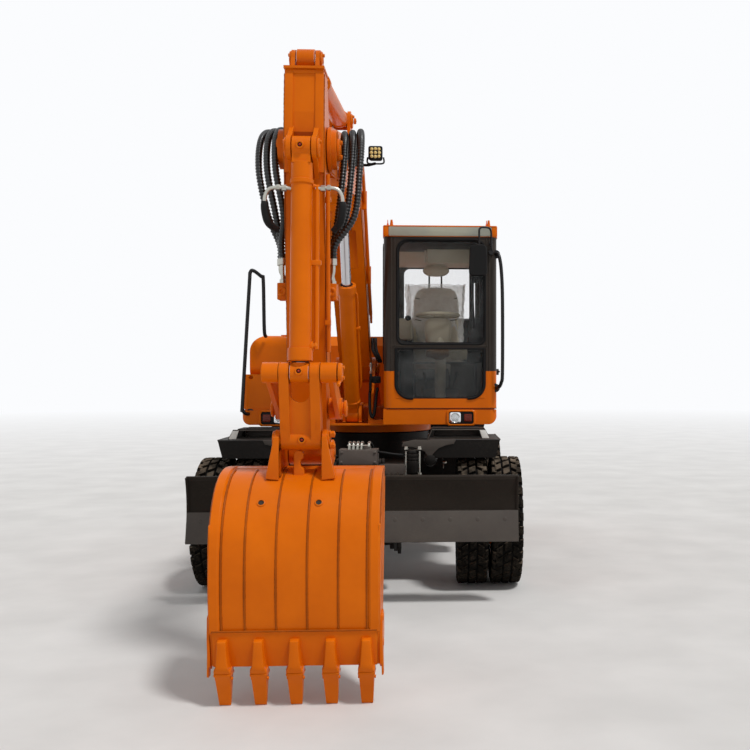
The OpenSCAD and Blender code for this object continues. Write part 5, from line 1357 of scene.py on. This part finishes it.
def arm_details():
    """Strips, hose blocks, weld beads and pin caps of the arm."""
    strips = Form()
    # Side strips of the arm's front, either side of the sunk panel, and the seams of its side plates
    for s in (-1, 1):
        x = BOOM_X + s * 78
        strips.prism(side, [(3690, 3180), (3712, 3180), (3732, 2950), (3722, 2640), (3700, 2640)],
                     x - 22, x + 22, 4)
    strips.box((BOOM_X - 74, 3690, 3150), (BOOM_X + 74, 3712, 3172), 4)
    strips.make("arm_front_strips", ORANGE, "arm")
    # The sunk panel's darker enamel is painted shade
    panel = Form()
    panel.prism(side, [(3696, 3152), (3705, 3152), (3721, 2950), (3713, 2700), (3700, 2700)],
                BOOM_X - 58, BOOM_X + 58, 1)
    panel.make("arm_sunk_panel_painted_shade", PAINTED_SHADE_ORANGE, "arm")
    # Blocks at the lower ends of the hoses, on both sides of the arm
    blocks, elbows = Form(), Form()
    for s in (-1, 1):
        x = BOOM_X + s * ARM_HALF
        low, high = sorted((x, x + s * 52))
        blocks.box((low, HOSE_ENDS[s][0][1] - 22, 1994), (high, HOSE_ENDS[s][2][1] + 24, 2082), 5)
        blocks.turned(at(x + s * 26, HOSE_ENDS[s][2][1] + 22, 2037), (0, -1, 0),
                      [(0, 24), (8, 24), (11, 20), (11, 12), (6, 8)], 28)
        for ex, ef in HOSE_ENDS[s]:
            foot = x + s * 26
            elbows.turned(at(ex, ef, 2214), (0, 0, -1), [(0, 19), (34, 19), (36, 16)], 20)
            elbows.curve([(ex, ef, 2184), (ex, ef, 2150), (foot, ef, 2110), (foot, ef, 2080)], 5, 11, 12)
            elbows.turned(at(foot, ef, 2082), (0, 0, 1), [(0, 18), (18, 18), (20, 14)], 6)
    blocks.make("arm_hose_blocks", ORANGE, "arm")
    elbows.make("arm_hose_elbows", ZINC, "arm")
    beads = Form()
    for i, s in enumerate((-1, 1)):
        x = BOOM_X + s * ARM_HALF
        for j, line in enumerate(([(3700, 3150), (3716, 2950), (3706, 2620), (3590, 1600)],
                                  [(3404, 2440), (3420, 1560)])):
            beads.weld(resample(smooth_path([at(x, f, z) for f, z in line], 8), 10), 4, 40 + i * 2 + j)
    beads.make("arm_welds", WELD, "arm")
    pin_caps("arm_pivot_caps", "arm", [
        (153, PIVOT, [(0, 60), (10, 60), (13, 57), (13, 30), (17, 26)], 40,
         [(163, 0, -38, 22, 12), (163, 0, 38, 22, 12)])])
    pin_caps("arm_pin_heads", "arm", [
        (75, ARM_CYL_EYE, [(0, 46), (7, 46), (10, 42), (10, 18), (14, 15)], 32, [(83, 0, 26, 16, 9)]),
        (77, BUCKET_CYL_TOP, LUG_CAP, 32, [(86, 0, 32, 16, 9)]),
        (187, ROCKER_PIN, [(0, 44), (10, 44), (13, 40), (13, 18), (17, 14)], 32, [])])


def linkage_details():
    """Pin heads of the rocker, and the link's rims and flanges."""
    heads = Form()
    # A thin head on the left, and a bolted cap with its lock bar on the right
    heads.turned(at(BOOM_X - 184.5, *LINK_TOP), (-1, 0, 0), [(0, 40), (4, 38), (5, 30), (5, 10)], 40)
    base = at(BOOM_X + 190, *LINK_TOP)
    heads.turned(base, (1, 0, 0), [(0, 50), (12, 50), (20, 44), (22, 36), (22, 16)], 40)
    for dz in (-26, 26):
        heads.bolt(base + Vector((18, 0, dz)), (1, 0, 0), 18, 10)
    bar = at(BOOM_X + 196, LINK_TOP[0], LINK_TOP[1] - 30)
    heads.rod(bar, bar + Vector((0, -62, -32)), 9)
    heads.make("rocker_pin_heads", ORANGE, "rocker")
    rims = Form()
    for s in (-1, 1):
        for x in (54, 98):
            rims.turned(at(BOOM_X + s * x, *LINK_TOP), (1, 0, 0), [(-2, 50), (-2, 54), (2, 54), (2, 50)], 40,
                        hollow=True)
        # Flanges along the link's front edges
        u0, u1 = between(LINK_FOOT, LINK_TOP, 55), between(LINK_FOOT, LINK_TOP, 292)
        rims.prism(side, [(u0[0] + 40, u0[1]), (u0[0] + 52, u0[1]), (u1[0] + 50, u1[1]), (u1[0] + 38, u1[1])],
                   BOOM_X + s * 84 - 14, BOOM_X + s * 84 + 14, 4)
    rims.make("link_rims", ORANGE, "link")


def boom_details():
    """Weld beads, pin caps, steel pipes and hose blocks of the boom."""
    beads = Form()
    for i, s in enumerate((-1, 1)):
        x = BOOM_X + s * BOOM_HALF
        top = [(560, 2100), (1010, 2640), (1420, 3110), (1560, 3215), (1700, 3228), (2100, 3160),
               (3240, 2920)]
        low = [(560, 1790), (745, 1990), (1530, 2824), (1600, 2834), (2180, 2806), (3260, 2690)]
        for j, line in enumerate((top, low)):
            beads.weld(resample(smooth_path([at(x, f, z) for f, z in line], 8), 11), 4.5, 60 + 2 * i + j)
    beads.make("boom_welds", WELD, "boom")
    pin_caps("boom_pin_caps", "boom", [
        (176, FOOT, [(0, 60), (10, 60), (13, 56), (13, 24), (18, 20)], 36, [(184, 0, 40, 22, 12)]),
        (75, ARM_CYL_FOOT, LUG_CAP, 32, [(85, 2, 32, 18, 10)]),
        (75, BOOM_CYL_EYE, [(0, 48), (8, 48), (11, 44), (11, 20), (15, 16)], 32, [])])
    # Steel pipes along the boom's right side, in clamps
    pipes = Form()
    for lift in (0, 34, 68):
        x = BOOM_X + 145
        line = [(640, 2030 + lift), (1060, 2510 + lift), (1460, 2950 + lift), (1700, 3060 + lift),
                (2200, 2990 + lift), (3000, 2860 + lift), (3180, 2830 + lift)]
        pipes.tube(smooth_path([at(x, f, z) for f, z in line], 7), 10, 12)
    for f, z in ((900, 2360), (1380, 2870), (2050, 3040), (2700, 2940)):
        x = BOOM_X + 140
        pipes.prism(side, rounded((f - 16, z - 36), (f + 16, z + 104), 8), x - 16, x + 20, 4)
    pipes.make("boom_pipes", ORANGE, "boom")
    # Block with its hoses' unions on both sides of the boom's end
    block = Form()
    unions = Form()
    for s in (-1, 1):
        x = BOOM_X + s * 150
        block.box((x - 20, 3150, 2700), (x + 20, 3260, 2890), 6)
        block.turned(at(x + s * 18, 3205, 2790), (s, 0, 0), [(0, 34), (10, 34), (13, 30), (13, 12)], 28)
        for k in range(3):
            base = at(x + s * 14, 3170 + 38 * k, 2890)
            unions.turned(base, (0, 0, 1), [(0, 15), (16, 15), (18, 12), (34, 12), (36, 10)], 6)
    block.make("hose_blocks", ORANGE, "boom")
    unions.make("hose_unions", ZINC, "boom")


def spiral_hose(name, points):
    """A hose in its spiral guard, bending across the arm's pivot."""
    path = resample(smooth_path([at(*p) for p in points], 10), 4.5)
    form = Form()
    form.tube(path, [HOSE_R + (0, 0, HOSE_RIB, HOSE_RIB)[k % 4] for k in range(len(path))])
    piece = form.make(name, GUARD, None, angle=60)
    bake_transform(piece)


def hoses():
    """Six hoses from the boom's blocks to the arm's, three on each side."""
    for i in range(3):
        x, f = -306 + 38 * i, 3180 + 28 * i
        ex, ef = HOSE_ENDS[-1][i]
        spiral_hose(f"hose_left_{i + 1}", [
            (x + 50, f, 2780), (x + 16, f + 30, 2890), (x - 42, f + 130, 2938),
            (x - 66 + 6 * i, f + 290, 2856), (x - 60 + 10 * i, f + 380, 2670),
            (x - 10 + 6 * i, f + 400, 2440), (ex - 4, ef + 10, 2290), (ex, ef, 2206)])
    for i in range(3):
        x, f = 38 + 46 * i, 3180 + 28 * i
        ex, ef = HOSE_ENDS[1][i]
        spiral_hose(f"hose_right_{i + 1}", [
            (x - 20, f, 2780), (x, f + 30, 2890), (x + 22, f + 130, 2936), (x + 36, f + 260, 2850),
            (x + 32, f + 330, 2680), (x + 6, f + 350, 2440), (ex + 14, ef + 14, 2290), (ex, ef, 2206)])


def work_lamp():
    """A square lamp of nine emitters, on its bracket beside the boom."""
    shell = Form()
    x, f, z = 228, 3265, 2840
    rings = []
    for w, inset in ((f - 34, 14), (f - 26, 4), (f + 14, 0), (f + 22, 2), (f + 24, 6)):
        half = 40 - inset
        rings.append([front(u, v, w) for u, v in rounded((x - half, z - half), (x + half, z + half), 12)])
    shell.skin(rings)
    for k in range(5):
        shell.box((x - 30, f - 50, z - 30 + 14 * k), (x + 30, f - 30, z - 25 + 14 * k), 1)
    shell.curve([(x - 44, f - 4, z - 20), (x - 44, f - 4, z - 52), (x, f - 4, z - 56),
                 (x + 44, f - 4, z - 52), (x + 44, f - 4, z - 20)], 4, 5, 8)
    shell.tube([at(x, f - 4, z - 54), at(x - 40, f - 14, z - 62), at(x - 226, f - 80, z - 50)], 8, 10)
    shell.make("work_lamp_housing", PLASTIC, "boom", ["work_lamp"])
    leds = Form()
    for u, v in [(-20, 20), (0, 22), (20, 20), (-22, 0), (0, 0), (22, 0), (-20, -20), (0, -22), (20, -20)]:
        leds.turned(at(x + u, f + 24, z + v), (0, -1, 0), [(0, 9), (2, 9), (4, 6), (5, 1)], 16)
    leds.make("work_lamp_leds", LED, "boom")


def blade_details():
    """Wear skin, rolled lip, bolted cutting edge and end plates of the blade."""
    def arc(radius, z0, z1, steps=14):
        """Part of a circle about the axis of the blade's curve."""
        return [(BLADE_CURVE[0] - math.sqrt(radius ** 2 - (z - BLADE_CURVE[1]) ** 2), z)
                for z in (z0 + (z1 - z0) * k / steps for k in range(steps + 1))]

    skin = Form()
    skin.prism(side, arc(577, 470, 880) + arc(601, 880, 470), -BLADE_HALF, BLADE_HALF, 3)
    skin.prism(side, rounded((1933, 866), (1977, 907), 14, 4), -BLADE_HALF - 7, BLADE_HALF + 7, 3)
    for s in (-1, 1):
        skin.prism(side, arc(566, 456, 900) + arc(626, 900, 456),
                   s * (BLADE_HALF - 7), s * (BLADE_HALF + 8), 3)
    skin.make("blade_skin", BLADE, "blade")
    edge = Form()
    edge.prism(side, [(1942, 656), (1953, 660), (2000, 452), (1990, 447)],
               -BLADE_HALF - 6, BLADE_HALF + 6, 2)
    edge.make("blade_cutting_edge", EDGE, "blade")
    bolts = Form()
    for k in range(12):
        x = -1045 + 190 * k
        bolts.turned(at(x, 1965, 600), (0, -0.977, 0.215), [(-2, 18), (1, 17), (2.5, 14), (2.6, 1)], 24)
    bolts.make("blade_edge_bolts", EDGE, "blade")
    beads = Form()
    for i, (f, z) in enumerate(((1944, 661), (1953, 866))):
        beads.weld(resample([at(s * (BLADE_HALF - 9), f, z) for s in (-1, 1)], 12), 4, 90 + i)
    beads.make("blade_welds", BLADE, "blade", angle=70)


GUARD_IN, GUARD_OUT, GUARD_Z = 520, 1046, 1116
STEP_Z = 1189
UNION_Z = 1099
ACCUMULATOR = (394, 1500, 868)
TANK_X, TANK_Z = 430, 957


def undercarriage():
    """Fittings on the valve box, accumulator, brake drums, air tanks and the guards' edges."""
    unions, hoses_low = Form(), Form()
    for x in (-68, -38, -8, 22, 74):
        unions.turned(at(x, 1512, 1052), (0, 0, 1), [(0, 13), (14, 13), (16, 10), (26, 10)], 6)
        unions.curve([(x, 1512, 1070), (x, 1508, 1090), (x, 1484, UNION_Z), (x, 1452, UNION_Z)], 5, 9)
        unions.turned(at(x, 1468, UNION_Z), (0, 1, 0), [(0, 13), (12, 13), (14, 11)], 6)
        hoses_low.curve([(x, 1460, UNION_Z), (x * 1.02, 1400, 1096), (x * 1.1, 1300, 1070),
                         (x * 1.15, 1180, 1010), (x * 1.1, 1120, 960)], 6, 12, 12)
    unions.rod(at(-84, 1512, 1082), at(84, 1512, 1082), 6)
    unions.make("valve_unions", ZINC, "chassis")
    # Hose from the valve box to the accumulator, and one along the front edge of the frame
    hoses_low.curve([(136, 1520, 1036), (190, 1526, 1030), (262, 1520, 1018), (330, 1508, 1012)], 6, 8)
    hoses_low.curve([(-150, 1500, 1000), (-230, 1490, 1010), (-330, 1400, 985), (-420, 1250, 965),
                     (-470, 1160, 955)], 6, 11)
    hoses_low.make("chassis_hoses", RUBBER, "chassis")
    cover = Form()
    cover.prism(front, rounded((-138, 946), (136, 1050), 8), 1559, 1566, 2)
    for x in (-122, 120):
        for z in (962, 1034):
            cover.bolt(at(x, 1565, z), (0, -1, 0), 14, 7)
    outline = [(150, 868), (340, 868), (340, 940), (326, 946), (164, 946), (150, 940)]
    cover.prism(front, outline, 1500, 1512, 2)
    cover.box((150, 1440, 868), (340, 1506, 880), 2)
    cover.make("valve_cover", GREY, "chassis")
    store, ties = Form(), Form()
    # Accumulator in its frame of two plates and two tie bolts
    r = 42
    store.turned(at(*ACCUMULATOR), (0, 0, 1), [
        (0, 26), (6, r - 6), (16, r), (96, r), (98, r - 6), (106, r - 6), (108, r + 2), (120, r + 2),
        (122, r - 6), (130, r - 6), (132, r + 4), (146, r + 4), (148, r - 8), (160, r - 8), (162, r),
        (176, r - 4), (182, 20)], 36)
    store.box((326, 1452, 856), (462, 1548, 868), 3)
    store.box((332, 1470, 1040), (456, 1530, 1050), 3)
    store.box((340, 1300, 850), (440, 1470, 862), 3)
    for x in (346, 444):
        ties.rod(at(x, 1500, 858), at(x, 1500, 1074), 8.5)
        for z in (868, 1051):
            ties.turned(at(x, 1500, z), (0, 0, 1), [(0, 15), (12, 15), (14, 12)], 6)
        ties.turned(at(x, 1500, 1074), (0, 0, 1), [(-10, 12), (-2, 12), (0, 9)], 6)
    # Brake chambers over the front axle, each in its bracket
    for s in (-1, 1):
        store.turned(at(s * 523, 1150, 962), (0, -1, 0), [
            (0, 30), (4, 46), (60, 50), (70, 54), (82, 54), (92, 50), (230, 48), (262, 40), (270, 24)], 36)
        store.prism(front, [(s * 330, 905), (s * 430, 905), (s * 520, 1040), (s * 520, 1112), (s * 420, 1112),
                            (s * 330, 1010)], 1118, 1132, 3)
        store.prism(side, [(1118, 1112), (1118, 930), (1180, 1010), (1330, 1098), (1330, 1112)],
                    s * 515, s * 503, 2)
        # Air tanks on the boxes, in their straps
        store.turned(at(s * TANK_X, 190, TANK_Z), (0, 1, 0), [
            (0, 22), (10, 44), (26, 54), (40, 56), (580, 56), (594, 54), (610, 44), (620, 22)], 40)
        for f in (60, -300):
            x = s * TANK_X
            store.turned(at(x, f, TANK_Z), (0, 1, 0), [(0, 56), (0, 60), (40, 60), (40, 56)], 40, hollow=True)
            store.box((x - 48, f - 38, 898), (x + 48, f - 2, 912), 3)
    store.make("chassis_fittings", BLACK, "chassis")
    ties.make("accumulator_ties", ZINC, "chassis")
    # Steel strips along the guards' edges, rubbed bare and standing as painted highlight along their tops,
    # and the steps' light rims
    edges, rims, ends = Form(), Form(), Form()
    for s in (-1, 1):
        for f0, f1 in ((730, 1400), (-1690, -1010)):
            for x in (GUARD_OUT, GUARD_IN):
                edges.tube([at(s * x, f0 + 4, GUARD_Z), at(s * x, f1 - 4, GUARD_Z)], 5, 8)
            edges.tube([at(s * GUARD_IN, f1 - 2, GUARD_Z - 1), at(s * GUARD_OUT, f1 - 2, GUARD_Z - 1)], 5, 8)
            mid = (f0 + f1) / 2
            for k in range(9):
                # Ribs of the step's tread
                edges.box((s * 720 - 180, mid - 120 + 28 * k, STEP_Z),
                          (s * 720 + 180, mid - 112 + 28 * k, STEP_Z + 4), 1)
            rims.prism(front, [(s * 548, 1122), (s * 562, 1178), (s * 900, 1178), (s * 913, 1122)],
                       mid - 4, mid + 4, 1)
        rims.tube([at(s * 506, 1398, 1122), at(s * 536, 1398, 1190), at(s * 934, 1398, 1190),
                   at(s * 968, 1398, 1122)], 5, 8)
        # Pale end plates of the steps: painted highlight for their sunlit sides
        ends.prism(front, [(s * 892, 1187), (s * 936, 1187), (s * 965, 1126), (s * 912, 1126)], 1398, 1404, 1)
    edges.make("guard_edges", STEEL, "chassis")
    rims.make("step_rims", EDGE, "chassis")
    ends.make("step_end_plates_painted_highlight", PAINTED_HIGHLIGHT_PLATE, "chassis")
    # Arched brackets under the front guards' forward edge
    arches = Form()
    for s in (-1, 1):
        arches.prism(front, [(s * 309, 1066), (s * 322, 1098), (s * 400, 1116), (s * 716, 1116),
                             (s * 700, 1084), (s * 640, 1074), (s * 585, 1052), (s * 548, 1016),
                             (s * 530, 990), (s * 505, 990), (s * 480, 1030), (s * 400, 1060)], 1402, 1411, 2)
    arches.make("guard_brackets", EDGE, "chassis")
    # Treads and handles of the boxes between the axles
    boxes, catches = Form(), Form()
    for s in (-1, 1):
        for f in (-360, -20):
            boxes.prism(side, rounded((f - 96, 606), (f + 236, 874), 16), s * 619, s * 627, 3)
            catches.curve([(s * 626, f + 30, 830), (s * 652, f + 36, 830), (s * 654, f + 70, 830),
                           (s * 652, f + 104, 830), (s * 626, f + 110, 830)], 4, 8, 10)
            catches.turned(at(s * 627, f + 150, 800), (s, 0, 0),
                           [(0, 18), (5, 18), (7, 14), (7, 5), (3, 4)], 24)
    boxes.make("tool_box_lids", BLACK, "chassis")
    catches.make("tool_box_catches", ZINC, "chassis")


HOOD_X, HOOD_HALF = 70, 977
TAIL_R = 2000


def covers():
    """Seams, louvre blades, handles and hinges of the hood and tank, lamps and lugs of the counterweight."""
    fins, latches, seams = Form(), Form(), Form()
    for s in (-1, 1):
        x = HOOD_X + s * HOOD_HALF
        for i in range(6):
            z = 1533 + 55 * i
            fins.prism(front, [(x - s * 30, z + 30), (x + s * 2, z + 2), (x + s * 3, z + 6),
                               (x - s * 28, z + 35)], -1168, -752)
        for f in (-700, -1240):
            latches.prism(side, rounded((f - 34, 1700), (f + 34, 1760), 12), x - s * 2, x + s * 5, 2)
            latches.turned(at(x + s * 4, f, 1730), (s, 0, 0), [(0, 16), (6, 16), (8, 12), (8, 4)], 24)
        for z in (1480, 1880):
            latches.rod(at(x + s * 3, -600, z), at(x + s * 3, -640, z), 9)
    fins.make("hood_louvres", ORANGE, "upper")
    latches.make("cover_latches", PLASTIC, "upper")
    for x in (-560, 70, 700):
        seams.box((x - 4, -1540, 1962), (x + 4, -664, 1967), 1)
    for s in (-1, 1):
        x = HOOD_X + s * HOOD_HALF
        for f in (-690, -1230):
            seams.box((x - 3, f - 3, 1345), (x + 3, f + 3, 1940), 1)
    seams.box((-904, -1500, 1323.5), (-888, 970, 1332.5), 1)
    seams.box((-895, 962, 1323.5), (-578, 976, 1332.5), 1)
    for f in (-560, 30, 540):
        seams.box((-909, f - 3, 1345), (-905, f + 3, 1600), 1)
    seams.make("cover_seams", SEAL, "upper")
    lugs, lamps = Form(), Form()
    for x in (-190, 290):
        for dx in (-34, 34):
            lugs.prism(side, [(-1790, 1858), (-1790, 1880), (-1730, 1930), (-1640, 1930), (-1580, 1880),
                              (-1580, 1858)], x + dx - 12, x + dx + 12, 4)
        lugs.rod(at(x - 60, -1685, 1895), at(x + 60, -1685, 1895), 17)
    lugs.make("counterweight_lugs", ORANGE, "upper")
    for x, s in ((-560, -1), (700, 1)):
        f = -math.sqrt(TAIL_R ** 2 - (abs(x) + 70) ** 2)
        lamps.prism(front, rounded((x - 95, 1420), (x + 95, 1500), 14), f - 3, f + 60, 4)
        for k in range(3):
            lamps.turned(at(x - 60 + 60 * k, f - 3, 1460), (0, 1, 0), [(0, 26), (6, 25), (10, 16), (11, 2)],
                         24)
    lamps.make("tail_lamps", INDICATOR, "upper")


def boom_foot():
    """Hoses, clamp plate and fittings beside the boom's foot."""
    rubber, metal, plate = Form(), Form(), Form()
    rubber.curve([(34, 690, 1486), (32, 770, 1452), (34, 818, 1380), (40, 832, 1300), (56, 836, 1262),
                  (72, 832, 1296), (82, 816, 1380), (86, 770, 1446), (88, 680, 1490)], 7, 12, 14)
    rubber.curve([(-234, 620, 1440), (-230, 730, 1452), (-230, 790, 1410), (-234, 796, 1340),
                  (-230, 750, 1306), (-226, 690, 1300)], 7, 14, 14)
    for dx in (0, 26):
        rubber.curve([(40 + dx, 560, 1900), (46 + dx, 660, 1858), (54 + dx, 704, 1800),
                      (84 + dx * 0.7, 706, 1746), (100 + dx * 0.6, 680, 1706)], 6, 13, 12)
    rubber.curve([(36, 706, 1606), (38, 730, 1570), (36, 760, 1520), (36, 772, 1470)], 6, 12, 12)
    rubber.make("foot_hoses", RUBBER, "upper")
    metal.rod(at(36, 706, 1600), at(36, 706, 1700), 9)
    for z in (1612, 1668):
        metal.turned(at(36, 706, z), (0, 0, 1), [(0, 15), (18, 15), (20, 12)], 6)
    metal.make("foot_unions", ZINC, "upper")
    plate.prism(front, rounded((24, 1534), (118, 1590), 8), 720, 732, 3)
    for x in (44, 98):
        plate.bolt(at(x, 732, 1562), (0, -1, 0), 16, 8)
    plate.make("foot_clamp", PLASTIC, "upper")


# ---- Light, floor ----


SKY = "#FBFCFE"


def studio():
    """A pale sky, one soft sun, and a floor that fades into the sky."""
    world = bpy.data.worlds.new("studio")
    bpy.context.scene.world = world
    world.use_nodes = True
    tree = world.node_tree
    background = tree.nodes["Background"]
    rays = add(tree, "LightPath")
    # The sky is bright where it is seen or mirrored, and lights the rest at half that strength
    seen = rays.outputs["Is Camera Ray"]
    for kind in ("Is Glossy Ray", "Is Transmission Ray"):
        seen = add(tree, "Math", {0: seen, 1: rays.outputs[kind]}, operation="MAXIMUM").outputs[0]
    feed(tree, background, {"Strength": mapped(tree, seen, 0.5, 1.0), "Color": linear(SKY)})
    sun_data = bpy.data.lights.new("key_light", "SUN")
    sun_data.energy = 2.0
    sun_data.angle = math.radians(9)
    sun = bpy.data.objects.new("key_light", sun_data)
    bpy.context.scene.collection.objects.link(sun)
    sun.rotation_euler = Vector((0.50, -0.50, 1.25)).to_track_quat("Z", "Y").to_euler()
    floor_mesh = bpy.data.meshes.new("floor")
    reach = 60
    floor_mesh.from_pydata(
        [(-reach, -reach, 0), (reach, -reach, 0), (reach, reach, 0), (-reach, reach, 0)], [], [(0, 1, 2, 3)])
    floor = bpy.data.objects.new("floor", floor_mesh)
    bpy.context.scene.collection.objects.link(floor)
    material, tree, shader = blank("floor_pale_concrete")
    place = add(tree, "NewGeometry").outputs["Position"]
    # The floor fades into the sky between 7 and 40 m away
    distance = add(tree, "VectorMath", {0: place}, operation="LENGTH").outputs["Value"]
    fade = mapped(tree, distance, 0.0, 1.0, 7, 40)
    tone = ramp(tree, noise(tree, place, 1.5, 6), [(0.35, "#CFCDCA"), (0.7, "#DAD8D5")])
    feed(tree, shader, {"Base Color": tone, "Roughness": 0.9})
    bright = add(tree, "Emission", {"Color": linear(SKY), "Strength": 1.0})
    faded = add(tree, "MixShader", {0: fade, 1: shader.outputs[0], 2: bright.outputs[0]})
    output = next(n for n in tree.nodes if n.type == "OUTPUT_MATERIAL")
    tree.links.new(faded.outputs[0], output.inputs["Surface"])
    floor_mesh.materials.append(material)


tyres()
bucket()
window_seals()
cab_outside()
headlamp_units()
mirror()
handrails()
seat()
controls()
grease_points()
cylinder_details()
arm_details()
linkage_details()
boom_details()
hoses()
work_lamp()
blade_details()
undercarriage()
covers()
boom_foot()
studio()
